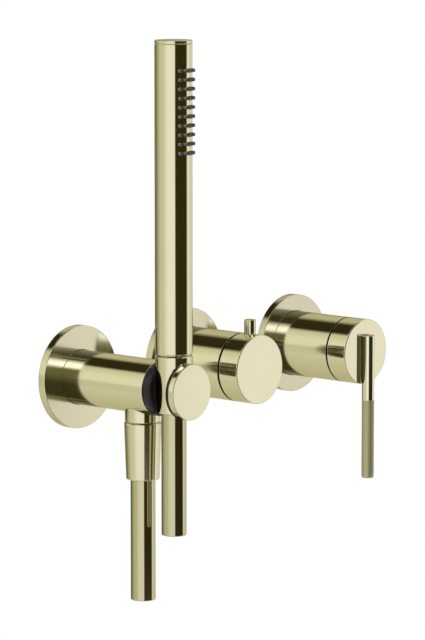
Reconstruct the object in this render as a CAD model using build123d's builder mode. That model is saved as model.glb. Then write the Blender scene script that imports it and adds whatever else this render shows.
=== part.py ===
from build123d import *
import os
from math import sqrt

# Bath shower mixer in three wall units, in millimetres.
# The wall is the plane y = 0 and the units stand out of it towards -Y, with +Z up.
# From left to right: hose outlet with the hand shower's cradle, diverter, lever mixer.
# The origin is on the outlet unit's axis at the wall. "Out" is a distance from the wall.

# Set-out on the wall
outlet_x = 0.0
outlet_to_diverter = 106.0
diverter_to_mixer = 114.0

# Fits
overrun = 1.0
slip_gap = 0.15
joint_gap = 0.02
running_gap = 0.05
face_gap = 0.2

# Escutcheons
outlet_plate_overhang = 16.5
diverter_plate_overhang = 12.7
mixer_plate_overhang = 11.85
escutcheon_t = 5.6
escutcheon_face_t = 2.0
escutcheon_rim_w = 2.5
escutcheon_hub_w = 3.5
escutcheon_edge_r = 0.4
escutcheon_ring_w = 1.6
escutcheon_ring_out = 3.0

# Wall nipple of the outlet unit, with a G1/2 thread behind the wall
wall_thread_d = 20.955
wall_thread_l = 16.0
spigot_d = 22.0
spigot_out = 32.0
nipple_bore_d = 11.5
nipple_key_af = 12.0
nipple_key_depth = 6.0
nipple_ring_count = 2
nipple_ring_first = 12.0
nipple_ring_pitch = 8.0
nipple_ring_w = 2.0
ring_land = 0.3
screw_from_spigot_end = 3.0
screw_groove_depth = 1.0

# Outlet body
body_rear = 0.5
outlet_out = 62.9
waterway_d = 10.0
waterway_web = 4.6
set_screw_d = 5.0
set_screw_l = 6.0
set_screw_key_af = 2.5
set_screw_key_depth = 2.5

# Hose conical nut, the same on both ends of the hose, with a G1/2 thread
hose_thread_d = 20.955
nut_top_wall = 1.92
nut_foot_wall = 2.65
nut_l = 38.8
nut_chamfer = 1.0
nut_foot_r = 0.8
thread_gap = 0.1
neck_thread_l = 14.6
hose_washer_inset = 1.18
hose_washer_w = 3.8
hose_washer_t = 2.0

# Hose tail and sleeve
sleeve_d = 16.7
sleeve_l = 101.65
sleeve_lip_t = 3.0
sleeve_crimp_wall = 1.75
sleeve_crimp_l = 28.0
sleeve_wall = 1.25
sleeve_edge_r = 0.6
tail_flange_t = 2.4
tail_inset = 3.75
tail_wall = 1.2
tail_l = 24.0
tail_barb_count = 3
tail_barb_h = 0.5

# Outlet neck under the body
neck_collar_w = 1.5
neck_bore_d = 9.0
neck_tenon_d = 16.0
neck_tenon_top = 9.0
outlet_nut_drop = 5.5
nut_top_gap = 0.3

# Check valve in the neck
neck_wall = 2.98
valve_l = 11.5
valve_end = 0.5
valve_wall = 1.7
valve_web_t = 1.5
valve_seat_lap = 1.5
valve_port_web = 0.85
valve_port_count = 4
poppet_side_gap = 0.8
poppet_t = 1.8
poppet_stem_d = 2.4
poppet_stem_proud = 0.2
spring_wire_d = 0.6
spring_side_gap = 0.9
spring_turns = 4

# Cradle: black insert between the body and the front cap, open to the left
hose_spacing = 28.3
cradle_reach = 11.9
cradle_side_wall = 6.0
cradle_inset = 0.1
cradle_shoulder_w = 5.5
cradle_rear_plug = 3.2
cradle_front_plug = 2.1
seat_gap = 0.3
throat_rear = 4.7
throat_front = 9.5
stud_d = 3.0
stud_edge = 3.2
stud_height = 4.0
stud_in_body = 8.0
stud_in_cap = 3.0

# Front cap of the cradle
cap_t = 4.2
cap_edge_r = 0.4

# Hand shower
handset_nut_rise = 5.2
handset_wall = 1.2
handset_foot_gap = 1.0
handset_l = 206.0
handset_edge_r = 0.4
end_cap_t = 2.0
end_cap_seam = 0.5
end_cap_plug_l = 5.0
connector_body_l = 13.3
connector_spigot_d = 15.0
connector_spigot_l = 10.0
connector_bore_d = 10.0
connector_ring_w = 1.8
connector_ring_up = 6.0
limiter_d = 14.0
limiter_t = 5.0
limiter_port_d = 1.6
limiter_port_count = 6
limiter_rim_w = 1.6
core_wall = 1.5
core_end_gap = 0.5
core_window_w = 10.0
strip_t = 1.5
strip_half_angle = 38.0
strip_end = 5.0
nozzle_rows = 10
nozzle_columns = 4
nozzle_from_top = 19.48
nozzle_pitch = 5.98
nozzle_step_angle = 18.0
nozzle_d = 3.0
nozzle_tip_d = 2.3
nozzle_proud = 2.0
nozzle_hole_gap = 0.1

# Cartridge units, shared by the diverter and the mixer
carrier_thread_d = 34.0
carrier_thread_l = 12.0
carrier_bore_d = 31.2
carrier_wall = 3.4
carrier_out = 34.0
carrier_step_wall = 1.9
carrier_step_l = 8.0
carrier_floor = 6.0
carrier_ring_out = 18.0
carrier_ring_w = 2.6
carrier_ring_depth = 0.8
carrier_side_gap = 2.0
trim_web_t = 3.5
trim_web_gap = 1.5
trim_edge_r = 0.2
port_d = 6.0
port_count = 3
port_edge_w = 2.3
seal_t = 1.6
seal_w = 1.2
housing_wall = 2.0
fixed_disc_gap = 0.3
fixed_disc_t = 3.4
moving_disc_gap = 0.8
moving_disc_t = 3.4
disc_channel_d = 5.4
disc_channel_depth = 1.8
disc_channel_arc = 120.0
drive_w = 4.0
drive_depth = 1.4
drive_plate_gap = 1.1
drive_plate_t = 3.2
stem_d = 9.0
stem_tip_gap = 0.4
housing_neck_wall = 6.0
housing_neck_l = 14.0
retaining_web_t = 3.0
retaining_nut_w = 2.2
retaining_slot_w = 4.0
retaining_slot_depth = 1.4
retaining_slot_count = 4

# Knobs
knob_l = 16.3
knob_wall = 3.0
knob_face_t = 4.0
knob_hub_wall = 3.5
knob_hub_step = 1.4
knob_edge_r = 0.6
stem_hole_depth = 8.5
glide_ring_inset = 1.1
glide_ring_w = 6.0
glide_ring_seat = 1.5
diverter_trim_wall = 2.8
diverter_knob_reach = 8.6
diverter_gap = 1.4
mixer_trim_wall = 2.15
mixer_knob_reach = 7.7
mixer_gap = 1.0

# Pin of the diverter knob
pin_d = 8.0
pin_shank_d = 5.0
pin_proud = 10.0
pin_from_face = 9.0
pin_seat_depth = 1.5
pin_edge_r = 0.4

# Lever of the mixer
lever_d = 8.5
lever_proud = 2.5
lever_top = 12.0
lever_l = 102.0
lever_grip_d = 8.8
lever_grip_l = 55.5
lever_edge = 0.6
lever_screw_d = 2.5
lever_screw_head_d = 4.4
lever_screw_head_t = 1.6
lever_screw_grip = 4.7
lever_screw_count = 2
lever_screw_pitch = 5.5
lever_screw_from_rim = 6.65
knob_screw_from_face = 11.0
knob_screw_l = 4.5
knob_screw_access_d = 5.6

# Places along the wall
diverter_x = outlet_x + outlet_to_diverter
mixer_x = diverter_x + diverter_to_mixer

# Hose nut, tail and sleeve
thread_hole_r = hose_thread_d / 2 + thread_gap
sleeve_hole_r = sleeve_d / 2 + face_gap
nut_top_d = 2 * (thread_hole_r + nut_top_wall)
nut_foot_d = 2 * (sleeve_hole_r + nut_foot_wall)
nut_taper = (nut_top_d - nut_foot_d) / 2 / (nut_l - nut_chamfer)
hose_washer_d = hose_thread_d - 2 * hose_washer_inset
tail_d = sleeve_d - 2 * tail_inset

# Outlet unit and cradle, sized round the nut that rests in the cradle
body_d = nut_top_d + 2 * cradle_side_wall
body_r = body_d / 2
handset_out = outlet_out + hose_spacing
body_front = handset_out - cradle_reach
cap_rear = handset_out + cradle_reach
cap_front = cap_rear + cap_t
set_screw_out = spigot_out - screw_from_spigot_end
outlet_nut_top = -(body_r + outlet_nut_drop)

# Hand shower, as wide as its nut
handset_nut_top = body_r + handset_nut_rise
handset_foot = handset_nut_top + handset_foot_gap
handset_top = handset_foot + handset_l
handset_d = nut_top_d

# Cartridge units, from the cartridge outwards
carrier_d = carrier_bore_d + 2 * carrier_wall
carrier_step_d = carrier_bore_d + 2 * carrier_step_wall
retaining_nut_d = carrier_step_d + 2 * retaining_nut_w
trim_bore_d = carrier_d + 2 * carrier_side_gap
diverter_knob_d = trim_bore_d + 2 * diverter_trim_wall
mixer_knob_d = trim_bore_d + 2 * mixer_trim_wall
housing_cavity_d = carrier_bore_d - 2 * housing_wall
housing_neck_d = stem_d + 2 * housing_neck_wall
housing_neck_out = carrier_out + housing_neck_l
fixed_disc_d = housing_cavity_d - 2 * fixed_disc_gap
moving_disc_d = housing_cavity_d - 2 * moving_disc_gap
drive_plate_d = housing_cavity_d - 2 * drive_plate_gap
port_circle_r = fixed_disc_d / 2 - port_edge_w - port_d / 2
diverter_rear = housing_neck_out + diverter_knob_reach
diverter_front = diverter_rear + knob_l
mixer_rear = housing_neck_out + mixer_knob_reach
mixer_front = mixer_rear + knob_l


def facing(x, out):
    """Plane parallel to the wall at this distance out, looked at from the front."""
    return Plane(origin=(x, -out, 0), x_dir=(1, 0, 0), z_dir=(0, -1, 0))


def across(x):
    """Plane through a unit's axis: first coordinate is the radius, second the way out."""
    return Plane(origin=(x, 0, 0), x_dir=(1, 0, 0), z_dir=(0, 0, -1))


def unit_axis(x):
    """Axis of a unit, out of the wall."""
    return Axis((x, 0, 0), (0, -1, 0))


def upright_axis(out):
    """Upright axis of the hose or the hand shower, this far out of the wall."""
    return Axis((outlet_x, -out, 0), (0, 0, 1))


def turned_profile(plane, *points):
    """Closed outline of a turned piece on this plane."""
    with BuildSketch(plane) as outline:
        with BuildLine():
            Polyline(*points, close=True)
        make_face()
    return outline.sketch


def ring_profile(plane, inner_r, outer_r, along):
    """Round section of a rubber ring that fills the space between two radii."""
    section_r = (outer_r - inner_r) / 2 - joint_gap
    with BuildSketch(plane) as section:
        with Locations(((inner_r + outer_r) / 2, along)):
            Circle(section_r)
    return section.sketch


def nut_radius(below_top):
    """Outer radius of the conical nut at this depth below its top face."""
    return nut_top_d / 2 - nut_taper * (below_top - nut_chamfer)


def make_escutcheon(unit, x, trim_d, overhang):
    """Round wall plate with a hollow back, and the ring that holds it on its unit."""
    outer_r = trim_d / 2 + overhang
    hole_r = trim_d / 2 + slip_gap
    hub_r = hole_r + escutcheon_hub_w
    back = escutcheon_t - escutcheon_face_t
    groove_r = hole_r + escutcheon_ring_w
    groove_low = escutcheon_ring_out - escutcheon_ring_w / 2 - ring_land
    groove_high = escutcheon_ring_out + escutcheon_ring_w / 2 + ring_land
    with BuildPart() as plate:
        revolve(
            turned_profile(
                across(x),
                (hole_r, 0),
                (hub_r, 0),
                (hub_r, back),
                (outer_r - escutcheon_rim_w, back),
                (outer_r - escutcheon_rim_w, 0),
                (outer_r, 0),
                (outer_r, escutcheon_t),
                (hole_r, escutcheon_t),
                (hole_r, groove_high),
                (groove_r, groove_high),
                (groove_r, groove_low),
                (hole_r, groove_low),
            ),
            axis=unit_axis(x),
        )
        rim = plate.edges().group_by(Axis.Y)[0].sort_by(SortBy.RADIUS)[-1]
        fillet(rim, escutcheon_edge_r)
    plate.part.label = f"{unit}_escutcheon"
    export_step(plate.part, f"parts/{unit}_escutcheon.step")

    with BuildPart() as ring:
        section = ring_profile(across(x), trim_d / 2, groove_r, escutcheon_ring_out)
        revolve(section, axis=unit_axis(x))
    ring.part.label = f"{unit}_escutcheon_ring"
    export_step(ring.part, f"parts/{unit}_escutcheon_ring.step")


def make_hose_end(end, out, nut_top):
    """Conical nut, washer, barbed tail and sleeve of one end of the hose."""
    axis = upright_axis(out)
    plane = facing(outlet_x, out)
    sleeve_r = sleeve_d / 2
    nut_foot = nut_top - nut_l
    washer_top = nut_top - neck_thread_l - joint_gap
    flange_top = washer_top - hose_washer_t - running_gap
    flange_foot = flange_top - tail_flange_t
    shoulder = flange_foot - face_gap
    sleeve_foot = flange_foot - sleeve_l
    with BuildPart() as nut:
        revolve(
            turned_profile(
                plane,
                (thread_hole_r, nut_top),
                (nut_top_d / 2 - nut_chamfer, nut_top),
                (nut_top_d / 2, nut_top - nut_chamfer),
                (nut_foot_d / 2, nut_foot),
                (sleeve_hole_r, nut_foot),
                (sleeve_hole_r, shoulder),
                (thread_hole_r, shoulder),
            ),
            axis=axis,
        )
        foot = nut.edges().group_by(Axis.Z)[0].sort_by(SortBy.RADIUS)[-1]
        fillet(foot, nut_foot_r)
    nut.part.label = f"{end}_hose_nut"
    export_step(nut.part, f"parts/{end}_hose_nut.step")

    with BuildPart() as washer:
        with BuildSketch(Plane.XY.offset(washer_top)):
            with Locations((outlet_x, -out)):
                Circle(hose_washer_d / 2)
                Circle(hose_washer_d / 2 - hose_washer_w, mode=Mode.SUBTRACT)
        extrude(amount=-hose_washer_t)
    washer.part.label = f"{end}_hose_washer"
    export_step(washer.part, f"parts/{end}_hose_washer.step")

    barb_l = tail_l / (tail_barb_count + 1)
    barbs = []
    for step in range(1, tail_barb_count + 1):
        barb_top = flange_foot - step * barb_l
        barbs += [(tail_d / 2, barb_top), (tail_d / 2 + tail_barb_h, barb_top)]
    barbs.append((tail_d / 2, flange_foot - tail_l))
    with BuildPart() as tail:
        revolve(
            turned_profile(
                plane,
                (tail_d / 2 - tail_wall, flange_top),
                (hose_washer_d / 2, flange_top),
                (hose_washer_d / 2, flange_foot),
                (tail_d / 2, flange_foot),
                *barbs,
                (tail_d / 2 - tail_wall, flange_foot - tail_l),
            ),
            axis=axis,
        )
    tail.part.label = f"{end}_hose_tail"
    export_step(tail.part, f"parts/{end}_hose_tail.step")

    lip_r = tail_d / 2 + running_gap
    lip_foot = flange_foot - sleeve_lip_t
    crimp_foot = lip_foot - sleeve_crimp_l
    with BuildPart() as sleeve:
        revolve(
            turned_profile(
                plane,
                (lip_r, flange_foot),
                (sleeve_r, flange_foot),
                (sleeve_r, sleeve_foot),
                (sleeve_r - sleeve_wall, sleeve_foot),
                (sleeve_r - sleeve_wall, crimp_foot),
                (sleeve_r - sleeve_crimp_wall, crimp_foot),
                (sleeve_r - sleeve_crimp_wall, lip_foot),
                (lip_r, lip_foot),
            ),
            axis=axis,
        )
        foot = sleeve.edges().group_by(Axis.Z)[0].sort_by(SortBy.RADIUS)[-1]
        fillet(foot, sleeve_edge_r)
    sleeve.part.label = f"{end}_hose_sleeve"
    export_step(sleeve.part, f"parts/{end}_hose_sleeve.step")


def make_cartridge_unit(unit, x, trim_d, knob_rear, gap):
    """Carrier, trim sleeve and ceramic disc cartridge of one turning unit."""
    axis = unit_axis(x)
    plane = across(x)
    trim_front = knob_rear - gap
    carrier_r = carrier_d / 2
    bore_r = carrier_bore_d / 2
    step_r = carrier_step_d / 2
    step_out = carrier_out - carrier_step_l
    groove_r = carrier_r - carrier_ring_depth
    groove_low = carrier_ring_out - carrier_ring_w / 2 - ring_land
    groove_high = carrier_ring_out + carrier_ring_w / 2 + ring_land
    with BuildPart() as carrier:
        revolve(
            turned_profile(
                plane,
                (0, -carrier_thread_l),
                (carrier_thread_d / 2, -carrier_thread_l),
                (carrier_thread_d / 2, 0),
                (carrier_r, 0),
                (carrier_r, groove_low),
                (groove_r, groove_low),
                (groove_r, groove_high),
                (carrier_r, groove_high),
                (carrier_r, step_out),
                (step_r, step_out),
                (step_r, carrier_out),
                (bore_r, carrier_out),
                (bore_r, carrier_floor),
                (0, carrier_floor),
            ),
            axis=axis,
        )
        with BuildSketch(facing(x, carrier_floor)):
            with PolarLocations(port_circle_r, port_count):
                Circle(port_d / 2)
        extrude(amount=-(carrier_thread_l + carrier_floor), mode=Mode.SUBTRACT)
    carrier.part.label = f"{unit}_carrier"
    export_step(carrier.part, f"parts/{unit}_carrier.step")

    with BuildPart() as carrier_ring:
        section = ring_profile(plane, groove_r, trim_bore_d / 2, carrier_ring_out)
        revolve(section, axis=axis)
    carrier_ring.part.label = f"{unit}_carrier_ring"
    export_step(carrier_ring.part, f"parts/{unit}_carrier_ring.step")

    trim_r = trim_d / 2
    ring_r = trim_r - glide_ring_inset
    seat_r = ring_r + joint_gap
    seat_out = trim_front - glide_ring_seat
    ring_inner_r = ring_r - glide_ring_w
    web_hole_r = housing_neck_d / 2 + trim_web_gap
    with BuildPart() as trim:
        revolve(
            turned_profile(
                plane,
                (trim_bore_d / 2, body_rear),
                (trim_r, body_rear),
                (trim_r, trim_front),
                (seat_r, trim_front),
                (seat_r, seat_out),
                (ring_inner_r - joint_gap, seat_out),
                (ring_inner_r - joint_gap, trim_front),
                (web_hole_r, trim_front),
                (web_hole_r, trim_front - trim_web_t),
                (trim_bore_d / 2, trim_front - trim_web_t),
            ),
            axis=axis,
        )
        rim = trim.edges().group_by(Axis.Y)[0].sort_by(SortBy.RADIUS)[-1]
        fillet(rim, trim_edge_r)
    trim.part.label = f"{unit}_trim_sleeve"
    export_step(trim.part, f"parts/{unit}_trim_sleeve.step")

    with BuildPart() as glide_ring:
        with BuildSketch(facing(x, seat_out)):
            Circle(ring_r)
            Circle(ring_inner_r, mode=Mode.SUBTRACT)
        extrude(amount=knob_rear - running_gap - seat_out)
    glide_ring.part.label = f"{unit}_glide_ring"
    export_step(glide_ring.part, f"parts/{unit}_glide_ring.step")

    with BuildPart() as seals:
        with BuildSketch(facing(x, carrier_floor)):
            with PolarLocations(port_circle_r, port_count):
                Circle(port_d / 2 + seal_w)
                Circle(port_d / 2, mode=Mode.SUBTRACT)
        extrude(amount=seal_t)
    seals.part.label = f"{unit}_port_seals"
    export_step(seals.part, f"parts/{unit}_port_seals.step")

    fixed_rear = carrier_floor + seal_t
    moving_rear = fixed_rear + fixed_disc_t + running_gap
    plate_rear = moving_rear + moving_disc_t
    plate_front = plate_rear + drive_plate_t
    with BuildPart() as fixed_disc:
        with BuildSketch(facing(x, fixed_rear)):
            Circle(fixed_disc_d / 2)
            with PolarLocations(port_circle_r, port_count):
                Circle(port_d / 2, mode=Mode.SUBTRACT)
        extrude(amount=fixed_disc_t)
    fixed_disc.part.label = f"{unit}_fixed_disc"
    export_step(fixed_disc.part, f"parts/{unit}_fixed_disc.step")

    with BuildPart() as moving_disc:
        with BuildSketch(facing(x, moving_rear)):
            Circle(moving_disc_d / 2)
        extrude(amount=moving_disc_t)
        with BuildSketch(facing(x, moving_rear)):
            SlotArc(CenterArc((0, 0), port_circle_r, 0, disc_channel_arc), disc_channel_d)
        extrude(amount=disc_channel_depth, mode=Mode.SUBTRACT)
        with BuildSketch(facing(x, plate_rear)):
            Rectangle(moving_disc_d + overrun, drive_w)
        extrude(amount=-drive_depth, mode=Mode.SUBTRACT)
    moving_disc.part.label = f"{unit}_moving_disc"
    export_step(moving_disc.part, f"parts/{unit}_moving_disc.step")

    stem_end = knob_rear + knob_hub_step + stem_hole_depth - stem_tip_gap
    with BuildPart() as stem:
        with BuildSketch(facing(x, plate_rear)):
            Circle(drive_plate_d / 2)
        extrude(amount=drive_plate_t)
        with BuildSketch(facing(x, plate_rear)):
            Rectangle(moving_disc_d - drive_w, drive_w - slip_gap)
        extrude(amount=-(drive_depth - joint_gap))
        with BuildSketch(facing(x, plate_front)):
            Circle(stem_d / 2)
        extrude(amount=stem_end - plate_front)
    stem.part.label = f"{unit}_stem"
    export_step(stem.part, f"parts/{unit}_stem.step")

    housing_r = bore_r - joint_gap
    cavity_out = plate_front + running_gap
    stem_hole_r = stem_d / 2 + running_gap
    with BuildPart() as housing:
        revolve(
            turned_profile(
                plane,
                (housing_cavity_d / 2, carrier_floor),
                (housing_r, carrier_floor),
                (housing_r, carrier_out),
                (housing_neck_d / 2, carrier_out),
                (housing_neck_d / 2, housing_neck_out),
                (stem_hole_r, housing_neck_out),
                (stem_hole_r, cavity_out),
                (housing_cavity_d / 2, cavity_out),
            ),
            axis=axis,
        )
    housing.part.label = f"{unit}_cartridge_housing"
    export_step(housing.part, f"parts/{unit}_cartridge_housing.step")

    nut_front = carrier_out + retaining_web_t
    with BuildPart() as retaining_nut:
        revolve(
            turned_profile(
                plane,
                (step_r + joint_gap, step_out + joint_gap),
                (retaining_nut_d / 2, step_out + joint_gap),
                (retaining_nut_d / 2, nut_front),
                (housing_neck_d / 2 + slip_gap, nut_front),
                (housing_neck_d / 2 + slip_gap, carrier_out),
                (step_r + joint_gap, carrier_out),
            ),
            axis=axis,
        )
        with BuildSketch(facing(x, nut_front)):
            with PolarLocations(retaining_nut_d / 2, retaining_slot_count):
                Rectangle(2 * retaining_slot_w, retaining_slot_w)
        extrude(amount=-retaining_slot_depth, mode=Mode.SUBTRACT)
    retaining_nut.part.label = f"{unit}_retaining_nut"
    export_step(retaining_nut.part, f"parts/{unit}_retaining_nut.step")


os.makedirs("parts", exist_ok=True)

# Escutcheons of the three units
make_escutcheon("outlet", outlet_x, body_d, outlet_plate_overhang)
make_escutcheon("diverter", diverter_x, diverter_knob_d, diverter_plate_overhang)
make_escutcheon("mixer", mixer_x, mixer_knob_d, mixer_plate_overhang)

# Outlet unit: wall nipple, its rings, body and set screw
spigot_r = spigot_d / 2
pocket_r = spigot_r + slip_gap
nipple_groove_r = pocket_r - nipple_ring_w
groove_half_w = nipple_ring_w / 2 + ring_land
nipple_ring_outs = [
    nipple_ring_first + ring * nipple_ring_pitch for ring in range(nipple_ring_count)
]
nipple_grooves = []
for groove_out in nipple_ring_outs:
    nipple_grooves += [
        (spigot_r, groove_out - groove_half_w),
        (nipple_groove_r, groove_out - groove_half_w),
        (nipple_groove_r, groove_out + groove_half_w),
        (spigot_r, groove_out + groove_half_w),
    ]
with BuildPart() as wall_nipple:
    revolve(
        turned_profile(
            across(outlet_x),
            (nipple_bore_d / 2, -wall_thread_l),
            (wall_thread_d / 2, -wall_thread_l),
            (wall_thread_d / 2, 0),
            (spigot_r, 0),
            *nipple_grooves,
            (spigot_r, set_screw_out - screw_groove_depth),
            (spigot_r - screw_groove_depth, set_screw_out),
            (spigot_r, set_screw_out + screw_groove_depth),
            (spigot_r, spigot_out),
            (nipple_bore_d / 2, spigot_out),
        ),
        axis=unit_axis(outlet_x),
    )
    with BuildSketch(facing(outlet_x, spigot_out)):
        RegularPolygon(nipple_key_af / 2, 6, major_radius=False)
    extrude(amount=-nipple_key_depth, mode=Mode.SUBTRACT)
wall_nipple.part.label = "outlet_wall_nipple"
export_step(wall_nipple.part, "parts/outlet_wall_nipple.step")

with BuildPart() as nipple_rings:
    for groove_out in nipple_ring_outs:
        section = ring_profile(across(outlet_x), nipple_groove_r, pocket_r, groove_out)
        revolve(section, axis=unit_axis(outlet_x))
nipple_rings.part.label = "outlet_nipple_rings"
export_step(nipple_rings.part, "parts/outlet_nipple_rings.step")

seat_height = body_d + 2 * overrun
seat_mid_r = nut_radius(handset_nut_top) + seat_gap
seat_top_r = seat_mid_r + nut_taper * seat_height / 2
seat_foot_r = seat_mid_r - nut_taper * seat_height / 2
plug_r = body_r - cradle_shoulder_w
plug_hole_r = plug_r + joint_gap
rear_recess = body_front - cradle_rear_plug - joint_gap
pocket_out = spigot_out + overrun
waterway_out = rear_recess - waterway_web
stud_x = body_r - stud_edge
stud_places = [(stud_x, -stud_height), (stud_x, stud_height)]
with BuildPart() as outlet_body:
    revolve(
        turned_profile(
            across(outlet_x),
            (pocket_r, body_rear),
            (body_r, body_rear),
            (body_r, body_front),
            (plug_hole_r, body_front),
            (plug_hole_r, rear_recess),
            (0, rear_recess),
            (0, waterway_out),
            (waterway_d / 2, waterway_out),
            (waterway_d / 2, pocket_out),
            (pocket_r, pocket_out),
        ),
        axis=unit_axis(outlet_x),
    )
    with BuildSketch(Plane.XY):
        with Locations((outlet_x, -outlet_out)):
            Circle(neck_bore_d / 2)
        with Locations((outlet_x, -set_screw_out)):
            Circle(set_screw_d / 2)
    extrude(amount=-(body_r + overrun), mode=Mode.SUBTRACT)
    with BuildSketch(Plane.XY.offset(-neck_tenon_top)):
        with Locations((outlet_x, -outlet_out)):
            Circle(neck_tenon_d / 2 + joint_gap)
    extrude(amount=-body_r, mode=Mode.SUBTRACT)
    with BuildSketch(facing(outlet_x, body_front)):
        with Locations(*stud_places):
            Circle(stud_d / 2 + joint_gap)
    extrude(amount=-(stud_in_body + joint_gap), mode=Mode.SUBTRACT)
    with Locations((outlet_x, -handset_out, 0)):
        Cone(seat_foot_r, seat_top_r, seat_height, mode=Mode.SUBTRACT)
outlet_body.part.label = "outlet_body"
export_step(outlet_body.part, "parts/outlet_body.step")

screw_tip = spigot_r - screw_groove_depth + joint_gap
with BuildPart() as set_screw:
    revolve(
        turned_profile(
            facing(outlet_x, set_screw_out),
            (0, -screw_tip),
            (set_screw_d / 2 - joint_gap, -(screw_tip + set_screw_d / 2)),
            (set_screw_d / 2 - joint_gap, -(screw_tip + set_screw_l)),
            (0, -(screw_tip + set_screw_l)),
        ),
        axis=upright_axis(set_screw_out),
    )
    with BuildSketch(Plane.XY.offset(-(screw_tip + set_screw_l))):
        with Locations((outlet_x, -set_screw_out)):
            RegularPolygon(set_screw_key_af / 2, 6, major_radius=False)
    extrude(amount=set_screw_key_depth, mode=Mode.SUBTRACT)
set_screw.part.label = "outlet_set_screw"
export_step(set_screw.part, "parts/outlet_set_screw.step")

# Neck under the outlet body, its top hollowed to the body's round
neck_r = hose_thread_d / 2 + neck_collar_w
valve_r = hose_thread_d / 2 - neck_wall
neck_foot = outlet_nut_top - neck_thread_l
valve_foot = neck_foot + valve_end
valve_top = valve_foot + valve_l
collar_foot = outlet_nut_top + nut_top_gap
collar_top = -sqrt(body_r**2 - neck_r**2) + overrun
with BuildPart() as outlet_neck:
    with BuildSketch(Plane.XY.offset(collar_top)):
        with Locations((outlet_x, -outlet_out)):
            Circle(neck_r)
    extrude(amount=collar_foot - collar_top)
    with BuildSketch(facing(outlet_x, 0)):
        Circle(body_r + joint_gap)
    extrude(amount=outlet_out + body_d, mode=Mode.SUBTRACT)
    with BuildSketch(Plane.XY.offset(-neck_tenon_top - joint_gap)):
        with Locations((outlet_x, -outlet_out)):
            Circle(neck_tenon_d / 2)
    extrude(amount=collar_foot + neck_tenon_top)
    with BuildSketch(Plane.XY.offset(collar_foot)):
        with Locations((outlet_x, -outlet_out)):
            Circle(hose_thread_d / 2)
    extrude(amount=neck_foot - collar_foot)
    with BuildSketch(Plane.XY.offset(-neck_tenon_top)):
        with Locations((outlet_x, -outlet_out)):
            Circle(neck_bore_d / 2)
    extrude(amount=neck_foot + neck_tenon_top, mode=Mode.SUBTRACT)
    with BuildSketch(Plane.XY.offset(neck_foot)):
        with Locations((outlet_x, -outlet_out)):
            Circle(valve_r + joint_gap)
    extrude(amount=valve_top + joint_gap - neck_foot, mode=Mode.SUBTRACT)
outlet_neck.part.label = "outlet_neck"
export_step(outlet_neck.part, "parts/outlet_neck.step")

# Check valve: cage, poppet and spring
valve_bore_r = valve_r - valve_wall
poppet_r = valve_bore_r - poppet_side_gap
seat_hole_r = poppet_r - valve_seat_lap
guide_r = poppet_stem_d / 2 + running_gap
valve_port_r = (valve_bore_r - guide_r) / 2 - valve_port_web
poppet_top = valve_top - valve_web_t - running_gap
poppet_foot = poppet_top - poppet_t
guide_top = valve_foot + valve_web_t
with BuildPart() as valve_cage:
    revolve(
        turned_profile(
            facing(outlet_x, outlet_out),
            (seat_hole_r, valve_top),
            (valve_r, valve_top),
            (valve_r, valve_foot),
            (guide_r, valve_foot),
            (guide_r, guide_top),
            (valve_bore_r, guide_top),
            (valve_bore_r, valve_top - valve_web_t),
            (seat_hole_r, valve_top - valve_web_t),
        ),
        axis=upright_axis(outlet_out),
    )
    with BuildSketch(Plane.XY.offset(guide_top)):
        with Locations((outlet_x, -outlet_out)):
            with PolarLocations((valve_bore_r + guide_r) / 2, valve_port_count):
                Circle(valve_port_r)
    extrude(amount=-valve_web_t, mode=Mode.SUBTRACT)
valve_cage.part.label = "check_valve_cage"
export_step(valve_cage.part, "parts/check_valve_cage.step")

with BuildPart() as valve_poppet:
    revolve(
        turned_profile(
            facing(outlet_x, outlet_out),
            (0, poppet_top),
            (poppet_r, poppet_top),
            (poppet_r, poppet_foot),
            (poppet_stem_d / 2, poppet_foot),
            (poppet_stem_d / 2, valve_foot - poppet_stem_proud),
            (0, valve_foot - poppet_stem_proud),
        ),
        axis=upright_axis(outlet_out),
    )
valve_poppet.part.label = "check_valve_poppet"
export_step(valve_poppet.part, "parts/check_valve_poppet.step")

spring_l = poppet_foot - guide_top - 2 * joint_gap - spring_wire_d
spring_foot = guide_top + joint_gap + spring_wire_d / 2
spring_coil_r = (poppet_stem_d + spring_wire_d) / 2 + spring_side_gap
with BuildPart() as valve_spring:
    with BuildLine():
        coil = Helix(
            spring_l / spring_turns,
            spring_l,
            spring_coil_r,
            center=(outlet_x, -outlet_out, spring_foot),
        )
    with BuildSketch(Plane(coil @ 0, z_dir=coil % 0)):
        Circle(spring_wire_d / 2)
    sweep()
valve_spring.part.label = "check_valve_spring"
export_step(valve_spring.part, "parts/check_valve_spring.step")

# The hose's two ends
make_hose_end("outlet", outlet_out, outlet_nut_top)
make_hose_end("handset", handset_out, handset_nut_top)

# Cradle insert with its conical seat and the throat for the hose, studs and cap
rear_plug = body_front - cradle_rear_plug
front_plug = cap_rear + cradle_front_plug
cradle_r = body_r - cradle_inset
with BuildPart() as cradle:
    revolve(
        turned_profile(
            across(outlet_x),
            (0, rear_plug),
            (plug_r, rear_plug),
            (plug_r, body_front),
            (cradle_r, body_front),
            (cradle_r, cap_rear),
            (plug_r, cap_rear),
            (plug_r, front_plug),
            (0, front_plug),
        ),
        axis=unit_axis(outlet_x),
    )
    with Locations((outlet_x, -handset_out, 0)):
        Cone(seat_foot_r, seat_top_r, seat_height, mode=Mode.SUBTRACT)
    with BuildSketch(Plane.YZ.offset(outlet_x)):
        with Locations((-(handset_out + (throat_front - throat_rear) / 2), 0)):
            Rectangle(throat_front + throat_rear, body_d)
    extrude(amount=-(cradle_r + overrun), mode=Mode.SUBTRACT)
    with BuildSketch(facing(outlet_x, rear_plug)):
        with Locations(*stud_places):
            Circle(stud_d / 2 + joint_gap)
    extrude(amount=front_plug - rear_plug, mode=Mode.SUBTRACT)
cradle.part.label = "cradle"
export_step(cradle.part, "parts/cradle.step")

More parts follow.
